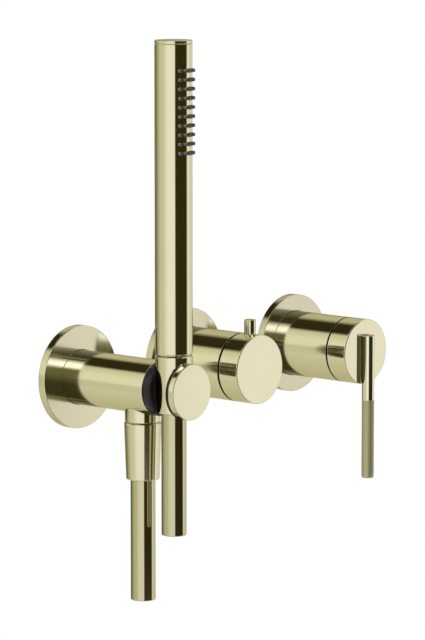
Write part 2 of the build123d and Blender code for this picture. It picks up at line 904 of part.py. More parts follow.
with BuildPart() as cradle_studs:
    with BuildSketch(facing(outlet_x, body_front - stud_in_body)):
        with Locations(*stud_places):
            Circle(stud_d / 2)
    extrude(amount=stud_in_body + cap_rear - body_front + stud_in_cap)
cradle_studs.part.label = "cradle_studs"
export_step(cradle_studs.part, "parts/cradle_studs.step")

cap_recess = front_plug + joint_gap
with BuildPart() as front_cap:
    revolve(
        turned_profile(
            across(outlet_x),
            (0, cap_recess),
            (plug_hole_r, cap_recess),
            (plug_hole_r, cap_rear),
            (body_r, cap_rear),
            (body_r, cap_front),
            (0, cap_front),
        ),
        axis=unit_axis(outlet_x),
    )
    fillet(front_cap.edges().group_by(Axis.Y)[0], cap_edge_r)
    with BuildSketch(facing(outlet_x, cap_rear)):
        with Locations(*stud_places):
            Circle(stud_d / 2 + joint_gap)
    extrude(amount=stud_in_cap + joint_gap, mode=Mode.SUBTRACT)
    with Locations((outlet_x, -handset_out, 0)):
        Cone(seat_foot_r, seat_top_r, seat_height, mode=Mode.SUBTRACT)
front_cap.part.label = "cradle_front_cap"
export_step(front_cap.part, "parts/cradle_front_cap.step")

# Hand shower: connector with its ring and flow limiter
handset_axis = upright_axis(handset_out)
handset_plane = facing(outlet_x, handset_out)
handset_r = handset_d / 2
handset_bore_r = handset_r - handset_wall
connector_foot = handset_nut_top - neck_thread_l
collar_low = handset_nut_top + nut_top_gap
connector_top = handset_foot + connector_body_l
connector_body_r = handset_bore_r - joint_gap
connector_ring_at = handset_foot + connector_ring_up
connector_groove_r = handset_bore_r - connector_ring_w
connector_groove_half_w = connector_ring_w / 2 + ring_land
limiter_hole_r = limiter_d / 2 + joint_gap
limiter_top = connector_foot + limiter_t
limiter_circle_r = (limiter_d - limiter_port_d) / 2 - limiter_rim_w
with BuildPart() as connector:
    revolve(
        turned_profile(
            handset_plane,
            (limiter_hole_r, connector_foot),
            (hose_thread_d / 2, connector_foot),
            (hose_thread_d / 2, collar_low),
            (neck_r, collar_low),
            (neck_r, handset_foot - joint_gap),
            (connector_body_r, handset_foot - joint_gap),
            (connector_body_r, connector_ring_at - connector_groove_half_w),
            (connector_groove_r, connector_ring_at - connector_groove_half_w),
            (connector_groove_r, connector_ring_at + connector_groove_half_w),
            (connector_body_r, connector_ring_at + connector_groove_half_w),
            (connector_body_r, connector_top),
            (connector_spigot_d / 2, connector_top),
            (connector_spigot_d / 2, connector_top + connector_spigot_l),
            (connector_bore_d / 2, connector_top + connector_spigot_l),
            (connector_bore_d / 2, limiter_top + joint_gap),
            (limiter_hole_r, limiter_top + joint_gap),
        ),
        axis=handset_axis,
    )
connector.part.label = "handset_connector"
export_step(connector.part, "parts/handset_connector.step")

with BuildPart() as connector_ring:
    section = ring_profile(
        handset_plane, connector_groove_r, handset_bore_r, connector_ring_at
    )
    revolve(section, axis=handset_axis)
connector_ring.part.label = "handset_connector_ring"
export_step(connector_ring.part, "parts/handset_connector_ring.step")

with BuildPart() as limiter:
    with BuildSketch(Plane.XY.offset(connector_foot)):
        with Locations((outlet_x, -handset_out)):
            Circle(limiter_d / 2)
            with PolarLocations(limiter_circle_r, limiter_port_count):
                Circle(limiter_port_d / 2, mode=Mode.SUBTRACT)
    extrude(amount=limiter_t)
limiter.part.label = "handset_flow_limiter"
export_step(limiter.part, "parts/handset_flow_limiter.step")

# Hand shower: end cap, tube with the nozzle holes, soft nozzle strip and inner core
nozzle_angles = [
    (column - (nozzle_columns - 1) / 2) * nozzle_step_angle
    for column in range(nozzle_columns)
]
nozzle_last = handset_top - nozzle_from_top
nozzle_first = nozzle_last - (nozzle_rows - 1) * nozzle_pitch
nozzle_heights = [nozzle_first + row * nozzle_pitch for row in range(nozzle_rows)]
strip_foot = nozzle_first - strip_end
strip_top = nozzle_last + strip_end
plug_foot = handset_top - end_cap_t - end_cap_plug_l
tube_top = handset_top - end_cap_t - end_cap_seam


def nozzle_plane(angle, height, from_axis):
    """Plane square to a nozzle at this angle from straight out, this far from the axis."""
    nozzle_way = Vector(0, -1, 0).rotate(Axis.Z, angle)
    foot = Vector(outlet_x, -handset_out, height) + nozzle_way * from_axis
    return Plane(origin=foot, x_dir=(0, 0, 1), z_dir=nozzle_way)


with BuildPart() as end_cap:
    revolve(
        turned_profile(
            handset_plane,
            (0, plug_foot),
            (handset_bore_r - joint_gap, plug_foot),
            (handset_bore_r - joint_gap, handset_top - end_cap_t),
            (handset_r, handset_top - end_cap_t),
            (handset_r, handset_top),
            (0, handset_top),
        ),
        axis=handset_axis,
    )
    fillet(end_cap.edges().group_by(Axis.Z)[-1], handset_edge_r)
end_cap.part.label = "handset_end_cap"
export_step(end_cap.part, "parts/handset_end_cap.step")

with BuildPart() as handset_tube:
    with BuildSketch(Plane.XY.offset(handset_foot)):
        with Locations((outlet_x, -handset_out)):
            Circle(handset_r)
    extrude(amount=tube_top - handset_foot)
    fillet(handset_tube.edges().group_by(Axis.Z)[0], handset_edge_r)
    with BuildSketch(Plane.XY.offset(handset_foot)):
        with Locations((outlet_x, -handset_out)):
            Circle(handset_bore_r)
    extrude(amount=tube_top - handset_foot, mode=Mode.SUBTRACT)
    for height in nozzle_heights:
        for angle in nozzle_angles:
            with BuildSketch(nozzle_plane(angle, height, handset_bore_r - handset_wall)):
                Circle(nozzle_d / 2 + nozzle_hole_gap)
            extrude(amount=2 * handset_wall + overrun, mode=Mode.SUBTRACT)
handset_tube.part.label = "handset_tube"
export_step(handset_tube.part, "parts/handset_tube.step")

strip_outer_r = handset_bore_r - joint_gap
strip_inner_r = strip_outer_r - strip_t
nozzle_root = strip_outer_r - strip_t / 2
nozzle_l = handset_r + nozzle_proud - nozzle_root
with BuildPart() as nozzle_strip:
    with BuildSketch(Plane((outlet_x, -handset_out, strip_foot))):
        with BuildLine():
            low = -90 - strip_half_angle
            swing = 2 * strip_half_angle
            inner = CenterArc((0, 0), strip_inner_r, low, swing)
            outer = CenterArc((0, 0), strip_outer_r, low, swing)
            Line(inner @ 0, outer @ 0)
            Line(inner @ 1, outer @ 1)
        make_face()
    extrude(amount=strip_top - strip_foot)
    for height in nozzle_heights:
        for angle in nozzle_angles:
            with Locations(nozzle_plane(angle, height, nozzle_root)):
                Cone(
                    nozzle_d / 2,
                    nozzle_tip_d / 2,
                    nozzle_l,
                    align=(Align.CENTER, Align.CENTER, Align.MIN),
                )
nozzle_strip.part.label = "handset_nozzle_strip"
export_step(nozzle_strip.part, "parts/handset_nozzle_strip.step")

core_r = strip_inner_r - joint_gap
core_foot = connector_top + joint_gap
core_top = plug_foot - core_end_gap
with BuildPart() as core:
    with BuildSketch(Plane.XY.offset(core_foot)):
        with Locations((outlet_x, -handset_out)):
            Circle(core_r)
            Circle(core_r - core_wall, mode=Mode.SUBTRACT)
    extrude(amount=core_top - core_foot)
    with BuildSketch(facing(outlet_x, handset_out)):
        with Locations((0, (nozzle_first + nozzle_last) / 2)):
            Rectangle(core_window_w, nozzle_last - nozzle_first + nozzle_d)
    extrude(amount=handset_r, mode=Mode.SUBTRACT)
core.part.label = "handset_core"
export_step(core.part, "parts/handset_core.step")

# Diverter and mixer: fixed pieces and cartridges
make_cartridge_unit("diverter", diverter_x, diverter_knob_d, diverter_rear, diverter_gap)
make_cartridge_unit("mixer", mixer_x, mixer_knob_d, mixer_rear, mixer_gap)

# Diverter knob and its pin, which screws down on the stem
pin_out = diverter_front - pin_from_face
pin_seat = diverter_knob_d / 2 - pin_seat_depth
pin_top = diverter_knob_d / 2 + pin_proud
hub_r = stem_d / 2 + knob_hub_wall
stem_hole_r = stem_d / 2 + running_gap


def knob_outline(x, knob_d, front):
    """Half section of a cup-shaped knob with a hub that takes the stem."""
    rear = front - knob_l
    hub_rear = rear + knob_hub_step
    inner_face = front - knob_face_t
    return turned_profile(
        across(x),
        (stem_hole_r, hub_rear),
        (hub_r, hub_rear),
        (hub_r, inner_face),
        (knob_d / 2 - knob_wall, inner_face),
        (knob_d / 2 - knob_wall, rear),
        (knob_d / 2, rear),
        (knob_d / 2, front),
        (0, front),
        (0, hub_rear + stem_hole_depth),
        (stem_hole_r, hub_rear + stem_hole_depth),
    )


with BuildPart() as diverter_knob:
    revolve(
        knob_outline(diverter_x, diverter_knob_d, diverter_front),
        axis=unit_axis(diverter_x),
    )
    fillet(diverter_knob.edges().group_by(Axis.Y)[0], knob_edge_r)
    with BuildSketch(Plane.XY):
        with Locations((diverter_x, -pin_out)):
            Circle(pin_shank_d / 2 + joint_gap)
    extrude(amount=pin_top, mode=Mode.SUBTRACT)
    with BuildSketch(Plane.XY.offset(pin_seat)):
        with Locations((diverter_x, -pin_out)):
            Circle(pin_d / 2 + joint_gap)
    extrude(amount=pin_top, mode=Mode.SUBTRACT)
diverter_knob.part.label = "diverter_knob"
export_step(diverter_knob.part, "parts/diverter_knob.step")

with BuildPart() as diverter_pin:
    with BuildSketch(Plane.XY.offset(pin_seat + joint_gap)):
        with Locations((diverter_x, -pin_out)):
            Circle(pin_d / 2)
    extrude(amount=pin_top - pin_seat - joint_gap)
    fillet(diverter_pin.edges().group_by(Axis.Z)[-1], pin_edge_r)
    with BuildSketch(Plane.XY.offset(stem_d / 2 + joint_gap)):
        with Locations((diverter_x, -pin_out)):
            Circle(pin_shank_d / 2)
    extrude(amount=pin_seat - stem_d / 2)
diverter_pin.part.label = "diverter_pin"
export_step(diverter_pin.part, "parts/diverter_pin.step")

# Mixer knob with the groove for its lever, lever, screws and set screw
lever_screw_low = lever_screw_from_rim - mixer_knob_d / 2
lever_screw_places = [
    (0, lever_screw_low + screw * lever_screw_pitch) for screw in range(lever_screw_count)
]
lever_out = mixer_front + lever_proud
lever_r = lever_d / 2
groove_floor = lever_out - lever_r
knob_screw_out = mixer_front - knob_screw_from_face
with BuildPart() as mixer_knob:
    revolve(knob_outline(mixer_x, mixer_knob_d, mixer_front), axis=unit_axis(mixer_x))
    fillet(mixer_knob.edges().group_by(Axis.Y)[0], knob_edge_r)
    with BuildSketch(Plane.XY.offset(lever_top + joint_gap)):
        with Locations((mixer_x, -lever_out)):
            Circle(lever_r + joint_gap)
    extrude(amount=-(lever_top + mixer_knob_d), mode=Mode.SUBTRACT)
    with BuildSketch(facing(mixer_x, mixer_front - knob_face_t)):
        with Locations(*lever_screw_places):
            Circle(lever_screw_d / 2 + joint_gap)
    extrude(amount=knob_face_t, mode=Mode.SUBTRACT)
    with BuildSketch(Plane.XY):
        with Locations((mixer_x, -knob_screw_out)):
            Circle(set_screw_d / 2 + joint_gap)
    extrude(amount=-(hub_r + overrun), mode=Mode.SUBTRACT)
    with BuildSketch(Plane.XY.offset(-(hub_r + overrun))):
        with Locations((mixer_x, -knob_screw_out)):
            Circle(knob_screw_access_d / 2)
    extrude(amount=-mixer_knob_d / 2, mode=Mode.SUBTRACT)
mixer_knob.part.label = "mixer_knob"
export_step(mixer_knob.part, "parts/mixer_knob.step")

with BuildPart() as mixer_lever:
    with BuildSketch(Plane.XY.offset(lever_top)):
        with Locations((mixer_x, -lever_out)):
            Circle(lever_r)
    extrude(amount=lever_grip_l - lever_l)
    fillet(mixer_lever.edges().group_by(Axis.Z)[-1], knob_edge_r)
    with BuildSketch(Plane.XY.offset(lever_top - lever_l)):
        with Locations((mixer_x, -lever_out)):
            Circle(lever_grip_d / 2)
    extrude(amount=lever_grip_l)
    chamfer(mixer_lever.edges().group_by(Axis.Z)[0], lever_edge)
    with BuildSketch(facing(mixer_x, groove_floor)):
        with Locations(*lever_screw_places):
            Circle(lever_screw_d / 2 + joint_gap)
    extrude(amount=lever_screw_grip + overrun, mode=Mode.SUBTRACT)
mixer_lever.part.label = "mixer_lever"
export_step(mixer_lever.part, "parts/mixer_lever.step")

screw_head_front = mixer_front - knob_face_t - joint_gap
with BuildPart() as lever_screws:
    with BuildSketch(facing(mixer_x, screw_head_front)):
        with Locations(*lever_screw_places):
            Circle(lever_screw_head_d / 2)
    extrude(amount=-lever_screw_head_t)
    with BuildSketch(facing(mixer_x, screw_head_front)):
        with Locations(*lever_screw_places):
            Circle(lever_screw_d / 2)
    extrude(amount=groove_floor - screw_head_front + lever_screw_grip)
lever_screws.part.label = "mixer_lever_screws"
export_step(lever_screws.part, "parts/mixer_lever_screws.step")

with BuildPart() as knob_screw:
    with BuildSketch(Plane.XY.offset(-(stem_d / 2 + joint_gap))):
        with Locations((mixer_x, -knob_screw_out)):
            Circle(set_screw_d / 2)
    extrude(amount=-knob_screw_l)
    with BuildSketch(Plane.XY.offset(-(stem_d / 2 + joint_gap + knob_screw_l))):
        with Locations((mixer_x, -knob_screw_out)):
            RegularPolygon(set_screw_key_af / 2, 6, major_radius=False)
    extrude(amount=set_screw_key_depth, mode=Mode.SUBTRACT)
knob_screw.part.label = "mixer_set_screw"
export_step(knob_screw.part, "parts/mixer_set_screw.step")
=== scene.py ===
"""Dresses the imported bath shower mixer: finishes, knurled lever, soft nozzles, stage and camera."""

import math

import bmesh
import bpy
from bpy.props import FloatProperty, FloatVectorProperty, IntProperty, PointerProperty
from mathutils import Matrix, Vector


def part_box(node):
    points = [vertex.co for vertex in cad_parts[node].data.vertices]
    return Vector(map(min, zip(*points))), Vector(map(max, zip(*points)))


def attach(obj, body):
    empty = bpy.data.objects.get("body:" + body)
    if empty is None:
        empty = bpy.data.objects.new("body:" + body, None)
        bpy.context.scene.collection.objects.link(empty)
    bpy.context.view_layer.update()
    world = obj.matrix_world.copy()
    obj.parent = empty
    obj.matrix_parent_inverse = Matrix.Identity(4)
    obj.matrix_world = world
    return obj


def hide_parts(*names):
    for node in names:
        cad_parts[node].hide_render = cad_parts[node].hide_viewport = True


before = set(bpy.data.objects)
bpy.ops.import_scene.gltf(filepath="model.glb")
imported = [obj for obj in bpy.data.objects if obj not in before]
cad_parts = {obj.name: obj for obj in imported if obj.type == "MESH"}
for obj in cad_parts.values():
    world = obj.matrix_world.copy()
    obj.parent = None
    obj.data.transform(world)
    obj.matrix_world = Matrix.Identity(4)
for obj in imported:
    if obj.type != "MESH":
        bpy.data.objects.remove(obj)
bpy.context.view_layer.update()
PLAIN_MATERIALS = {material.name for material in bpy.data.materials}

bl_info = {
    "name": "Bath shower mixer",
    "version": (1, 0, 0),
    "blender": (4, 5, 0),
    "location": "3D View > Sidebar > Mixer",
    "description": "Finishes and fine pieces for a bath shower mixer in three wall units",
    "category": "Object",
}

MM = 0.001
MICRON = 0.000001

# Where the axes stand, in metres: X along the wall from the outlet, OUT from the wall
OUTLET_X = 0.0
DIVERTER_X = 0.106
MIXER_X = 0.220
HOSE_OUT = 0.0629
PIN_OUT = 0.0639
HANDSET_OUT = 0.0912
LEVER_OUT = 0.0745

# A point of each axis, and the direction it runs in
AXES = {
    "outlet": ((OUTLET_X, 0, 0), "Y"),
    "diverter": ((DIVERTER_X, 0, 0), "Y"),
    "mixer": ((MIXER_X, 0, 0), "Y"),
    "hose": ((OUTLET_X, -HOSE_OUT, 0), "Z"),
    "pin": ((DIVERTER_X, -PIN_OUT, 0), "Z"),
    "handset": ((OUTLET_X, -HANDSET_OUT, 0), "Z"),
    "lever": ((MIXER_X, -LEVER_OUT, 0), "Z"),
}

# Fine pattern of the finishes, in cycles per metre
FINE_LINES = 2600
COARSE_LINES = 1800
KNURL_LINES = 1400
METAL_CLOUDS = 45
SKIN_GRAIN = 2200
SKIN_CLOUDS = 70
# Share of a colour that is left where the clouds are darkest
METAL_SHADE = 0.97
SKIN_SHADE = 0.8
# Share by which the clouds move a roughness up and down
METAL_SPREAD = 0.1
SKIN_SPREAD = 0.15
# Part that the fine lines have in the roughness of metal
LINE_SHARE = 0.35
# Strength of the bump of a moulded skin
SKIN_BUMP = 0.6

# Painted shade in the sleeve-knob gap: its middle's distance from the wall and its half width
DIVERTER_GAP_SHADE = (55.9 * MM, 0.85 * MM)
MIXER_GAP_SHADE = (55.2 * MM, 0.7 * MM)
# Softness of the painted shade's edges, and its near-black colour
GAP_SHADE_BLUR = 0.1 * MM
GAP_SHADE_COLOUR = (0.008, 0.006, 0.006, 1)

# Fine shape of the lever: its rounded top edge and the step down to the grip. HOLD is how far
# from an edge a ring stands that keeps the face beside it flat in the shading.
LEVER_SEGMENTS = 96
TOP_ROUND = 0.6 * MM
TOP_STEPS = 6
STEP_TOP = 0.25 * MM
STEP_FOOT = 0.1 * MM
HOLD = 0.15 * MM
# A rib's half width is this many core radii, shared among the ribs
RIB_FILL = 2.2

# Fine shape of a nozzle: the rounding of its tip, with the share of its radius that stands off
# at the middle of the rounding, and its hole with a flared mouth
NOZZLE_SEGMENTS = 18
NOZZLE_ROUND = 0.25 * MM
ROUND_MIDDLE = 0.3
HOLE_DEPTH = 0.7 * MM
MOUTH_DEPTH = 0.1 * MM
MOUTH_FLARE = 0.12 * MM
# The strip that carries the nozzles: half its thickness and half its angle round the tube
STRIP_HALF_T = 0.75 * MM
STRIP_HALF_ANGLE = math.radians(38)
STRIP_COLUMNS = 24
STRIP_ROWS = 10

# Middle of the stage
STAGE_MIDDLE = Vector((0.1, -0.05, 0.04))
FLOOR_SEGMENTS = 96
# Share of the floor's radius where it starts to fade into the backdrop
FLOOR_FADE = 0.45
# The lamp stands towards the camera, to its left and above, in these shares
LAMP_BACK = 0.45
LAMP_LEFT = 0.9
LAMP_UP = 0.6

# The light tent's panels: plain cards round the object. A stop is an angle in degrees and the
# card there, and the light blends from one card to the next.
WHITE_CARD = (1.0, 1.0, 1.0)
LIGHT_CARD = (0.8, 0.85, 0.8)
PALE_CARD = (0.9, 0.9, 0.75)
WARM_CARD = (0.7, 0.7, 0.55)
TAN_CARD = (0.6, 0.6, 0.45)
GREY_CARD = (0.5, 0.5, 0.5)
OLIVE_CARD = (0.4, 0.4, 0.25)
SHADED_CARD = (0.2, 0.2, 0.1)
BLACK_FLAG = (0.035, 0.028, 0.008)
DARK_ROOM = (0.06, 0.06, 0.03)
STRIP_LIGHT = (2.0, 2.1, 2.5)
# Level with the object, by the angle to the right of the camera
RING_STOPS = (
    (-180, GREY_CARD),
    (-140, SHADED_CARD),
    (-130, SHADED_CARD),
    (-85, WARM_CARD),
    (-65, WARM_CARD),
    (-35, WHITE_CARD),
    (7, WHITE_CARD),
    (11, BLACK_FLAG),
    (84, BLACK_FLAG),
    (94, WHITE_CARD),
    (100, WHITE_CARD),
    (110, LIGHT_CARD),
    (160, LIGHT_CARD),
    (180, GREY_CARD),
)
# On the side of the wall, above and below that ring, by the angle up from the left
REAR_STOPS = (
    (-180, OLIVE_CARD),
    (-140, TAN_CARD),
    (-100, TAN_CARD),
    (-40, WARM_CARD),
    (10, PALE_CARD),
    (30, PALE_CARD),
    (57, WARM_CARD),
    (67, BLACK_FLAG),
    (107, BLACK_FLAG),
    (125, TAN_CARD),
    (157, TAN_CARD),
    (165, OLIVE_CARD),
    (180, OLIVE_CARD),
)
# On the open side, for light that comes by way of two or more mirror surfaces, by the same
# angle: a dark room with one strip light
FRONT_STOPS = (
    (-180, GREY_CARD),
    (-150, GREY_CARD),
    (-105, DARK_ROOM),
    (-25, DARK_ROOM),
    (10, SHADED_CARD),
    (35, SHADED_CARD),
    (48, STRIP_LIGHT),
    (60, STRIP_LIGHT),
    (82, DARK_ROOM),
    (105, DARK_ROOM),
    (180, GREY_CARD),
)
# What the light is multiplied by after two mirror surfaces, and again after three
SECOND_TINT = (1.0, 1.03, 1.22)
THIRD_TINT = (0.50, 0.49, 0.50)
# Glossy depths between one and two, and two and three mirror surfaces
SECOND_DEPTH = 1.5
THIRD_DEPTH = 2.5
# Fades in the tent, as the height, or the way to the wall, of a direction one long
LOW_FADE = (-0.30, -0.235)
TOP_FADE = (0.93, 0.99)
WALL_FADE = (-0.1, 0.2)
# The ring's middle lies this far below the level, and it fades out this far from its middle
RING_DROP = 0.165
RING_FADE = (0.14, 0.26)
# Tones of the floor below the panels, with its part in them, and of the ceiling
LOW_TONE = (0.75, 0.76, 0.70, 1)
LOW_SHARE = 0.5
TOP_TONE = (0.85, 0.86, 0.80, 1)


def colour_property(name, description, default):
    """A setting that holds a colour."""
    return FloatVectorProperty(
        name=name, description=description, default=default, subtype="COLOR", size=3, min=0, max=1
    )


def length_property(name, description, default):
    """A setting that holds a length, in metres."""
    return FloatProperty(
        name=name, description=description, default=default, min=0, unit="LENGTH", precision=5
    )


def factor_property(name, description, default):
    """A setting that runs from 0 to 1."""
    return FloatProperty(
        name=name, description=description, default=default, min=0, max=1, subtype="FACTOR"
    )


class FinishSettings(bpy.types.PropertyGroup):
    """Colours and roughness of the mixer's finishes."""

    gold: colour_property("Gold", "Colour of the polished champagne gold", (0.80, 0.74, 0.52))
    lever_gold: colour_property("Lever gold", "Colour of the lever's rod", (0.86, 0.82, 0.64))
    hose_gold: colour_property("Hose gold", "Colour of the hose ends", (0.62, 0.57, 0.37))
    grip_gold: colour_property("Grip gold", "Colour of the lever's grip", (0.56, 0.54, 0.33))
    outlet_plate_tone: factor_property(
        "Outlet plate tone", "Tone of the outlet's wall plate to the bodies' gold", 0.95
    )
    plate_tone: factor_property(
        "Plate tone", "Tone of the other two wall plates to the bodies' gold", 0.83
    )
    polish: factor_property("Polish", "Roughness of the upright polished gold", 0.075)
    turned: factor_property("Turned", "Roughness of the turned level bodies", 0.08)
    drawn: factor_property("Drawn", "How far the turned lines stretch reflections", 0.95)
    soft_edge: length_property("Soft edge", "Radius that polishing gave to edges", 0.8 * MM)
    line_depth: length_property("Line depth", "Height of the finest turned lines", 0.12 * MICRON)
    satin: factor_property("Satin", "Roughness of the lever's grip", 0.42)
    grip_metal: factor_property("Grip metal", "How metallic the lever's grip looks", 0.9)
    brass: colour_property("Brass", "Colour of the bare brass in the wall", (0.72, 0.50, 0.22))
    brass_rough: factor_property("Brass roughness", "Roughness of bare brass", 0.3)
    steel: colour_property("Steel", "Colour of screws and springs", (0.60, 0.59, 0.57))
    steel_rough: factor_property("Steel roughness", "Roughness of screws and springs", 0.28)
    black: colour_property("Black plastic", "Colour of the cradle", (0.016, 0.011, 0.014))
    black_rough: factor_property("Black roughness", "Roughness of the cradle", 0.34)
    black_shine: factor_property("Black shine", "Specular level of the cradle", 0.3)
    black_edge: length_property("Black edge", "Radius over which the cradle's edges shade", 6 * MM)
    white: colour_property("White plastic", "Colour of the cartridges", (0.78, 0.78, 0.74))
    white_rough: factor_property("White roughness", "Roughness of the cartridges", 0.40)
    ceramic: colour_property("Ceramic", "Colour of the ceramic discs", (0.86, 0.86, 0.84))
    ceramic_rough: factor_property("Ceramic roughness", "Roughness of the ceramic discs", 0.14)
    rubber: colour_property("Rubber", "Colour of rings and washers", (0.02, 0.02, 0.02))
    rubber_rough: factor_property("Rubber roughness", "Roughness of rings and washers", 0.65)
    silicone: colour_property("Silicone", "Colour of the soft nozzles", (0.19, 0.17, 0.14))
    silicone_rough: factor_property("Silicone roughness", "Roughness of the soft nozzles", 0.5)


class LeverSettings(bpy.types.PropertyGroup):
    """Sizes of the lever and its knurled grip."""

    rod_r: length_property("Rod radius", "Radius of the plain rod", 4.40 * MM)
    core_r: length_property("Core radius", "Radius between the ribs of the grip", 4.33 * MM)
    grip_r: length_property("Grip radius", "Radius over the ribs of the grip", 4.40 * MM)
    top: length_property("Top", "Height of the rod's upper end", 12.0 * MM)
    rod_l: length_property("Rod length", "Length of the plain rod", 46.5 * MM)
    grip_l: length_property("Grip length", "Length of the knurled grip", 55.5 * MM)
    edge: length_property("Edge", "Bevel at the grip's lower end", 0.6 * MM)
    ribs: IntProperty(name="Ribs", description="Ribs round the grip", default=32, min=3)


class NozzleSettings(bpy.types.PropertyGroup):
    """Sizes of the hand shower's soft nozzles."""

    rows: IntProperty(name="Rows", description="Rows of nozzles", default=10, min=1)
    columns: IntProperty(name="Columns", description="Nozzles in a row", default=4, min=1)
    pitch: length_property("Pitch", "Height between rows", 5.98 * MM)
    lowest: length_property("Lowest row", "Height of the lowest row", 157.40 * MM)
    step: FloatProperty(
        name="Step", description="Angle between columns", default=math.radians(18), subtype="ANGLE"
    )
    root_out: length_property("Root", "Distance of a nozzle's root from the axis", 10.53 * MM)
    tip_out: length_property("Tip", "Distance of a nozzle's tip from the axis", 14.5 * MM)
    root_r: length_property("Root radius", "Radius of a nozzle at its root", 1.5 * MM)
    tip_r: length_property("Tip radius", "Radius of a nozzle at its tip", 1.15 * MM)
    hole_r: length_property("Hole radius", "Radius of a nozzle's hole", 0.45 * MM)


class StudioSettings(bpy.types.PropertyGroup):
    """Camera, floor, light tent and lamp."""

    azimuth: FloatProperty(
        name="Azimuth",
        description="Camera's direction to the left of straight out of the wall",
        default=math.radians(47.691),
        subtype="ANGLE",
    )
    elevation: FloatProperty(
        name="Elevation",
        description="Camera's height angle",
        default=math.radians(7.788),
        subtype="ANGLE",
    )
    distance: length_property("Distance", "Camera to the aim plane", 2.428706)
    aim_across: length_property("Aim across", "Aim point to the right", 0.09292)
    aim_up: length_property("Aim up", "Aim point upwards", 0.03792)
    lens: FloatProperty(name="Lens", description="Focal length in mm", default=201.88, min=1)
    sensor: FloatProperty(name="Sensor", description="Sensor height in mm", default=36, min=1)
    floor_level: FloatProperty(
        name="Floor level", description="Height of the floor", default=-0.60, unit="LENGTH"
    )
    floor_r: length_property("Floor radius", "Radius of the floor", 1.6)
    floor_colour: colour_property("Floor colour", "Colour of the floor", (0.94, 0.94, 0.93))
    tent_r: length_property("Tent radius", "Radius of the light tent", 6.0)
    lamp_power: FloatProperty(
        name="Lamp power", description="Power of the soft lamp in W", default=32, min=0
    )
    lamp_size: length_property("Lamp size", "Diameter of the soft lamp", 1.2)
    lamp_distance: length_property("Lamp distance", "Lamp to the middle of the stage", 2.0)
    ambient: factor_property("Ambient", "World light on matt surfaces", 0.32)


def settings():
    """The mixer's settings in the present scene."""
    return bpy.context.scene.shower_mixer


def add(tree, kind, inputs=None, **values):
    """A node with its settings and inputs; an input that is a socket is linked."""
    node = tree.nodes.new(kind)
    for name, value in values.items():
        setattr(node, name, value)
    for name, value in (inputs or {}).items():
        if isinstance(value, bpy.types.NodeSocket):
            tree.links.new(value, node.inputs[name])
        else:
            node.inputs[name].default_value = value
    return node


def maths(tree, operation, *values):
    """The result of one operation on numbers or sockets."""
    return add(tree, "ShaderNodeMath", dict(enumerate(values)), operation=operation).outputs[0]


def between(tree, factor, low, high):
    """A number that runs from low to high with a factor."""
    return add(
        tree, "ShaderNodeMapRange", {"Value": factor, "To Min": low, "To Max": high}
    ).outputs["Result"]


def smooth_step(tree, value, low, high):
    """0 below low, 1 above high and smooth between."""
    return add(
        tree,
        "ShaderNodeMapRange",
        {"Value": value, "From Min": low, "From Max": high},
        interpolation_type="SMOOTHSTEP",
    ).outputs["Result"]


def blend_colours(tree, factor, first, second):
    """A colour that runs from the first to the second with a factor."""
    inputs = {"Factor": factor, "A": first, "B": second}
    return add(tree, "ShaderNodeMix", inputs, data_type="RGBA").outputs["Result"]


def two_tone(tree, factor, colour, shade):
    """A colour that runs down to a share of itself with a factor."""
    dark = [c * shade for c in colour]
    return blend_colours(tree, factor, (*colour, 1), (*dark, 1))


def towards(tree, direction, way):
    """How far a direction points along a way, from -1 to 1."""
    return add(
        tree, "ShaderNodeVectorMath", {0: direction, 1: way}, operation="DOT_PRODUCT"
    ).outputs["Value"]


def object_place(tree):
    """The place on an object."""
    return add(tree, "ShaderNodeTexCoord").outputs["Object"]


def measured_from(tree, centre, place):
    """The place, measured from a centre."""
    return add(
        tree, "ShaderNodeMapping", {"Vector": place, "Location": [-c for c in centre]}
    ).outputs["Vector"]


def length_of(tree, vector):
    """The length of a vector."""
    return add(tree, "ShaderNodeVectorMath", {0: vector}, operation="LENGTH").outputs["Value"]


def clouds(tree, place, scale):
    """Soft blotches, from 0 to 1."""
    inputs = {"Vector": place, "Scale": scale, "Detail": 3}
    return add(tree, "ShaderNodeTexNoise", inputs).outputs[0]


def soften_edges(tree, bump, radius, samples):
    """Makes the light run round edges as if they had a radius."""
    rounded = add(tree, "ShaderNodeBevel", {"Radius": radius}, samples=samples).outputs[0]
    tree.links.new(rounded, bump.inputs["Normal"])


def empty_material(name):
    """A material whose nodes are still to come."""
    material = bpy.data.materials.new(name)
    material.use_nodes = True
    material.node_tree.nodes.clear()
    return material


def finish_material(material, shader, normal=None):
    """Joins the shader to the material's output."""
    tree = material.node_tree
    if normal is not None:
        tree.links.new(normal, shader.inputs["Normal"])
    add(tree, "ShaderNodeOutputMaterial", {"Surface": shader.outputs[0]})
    return material


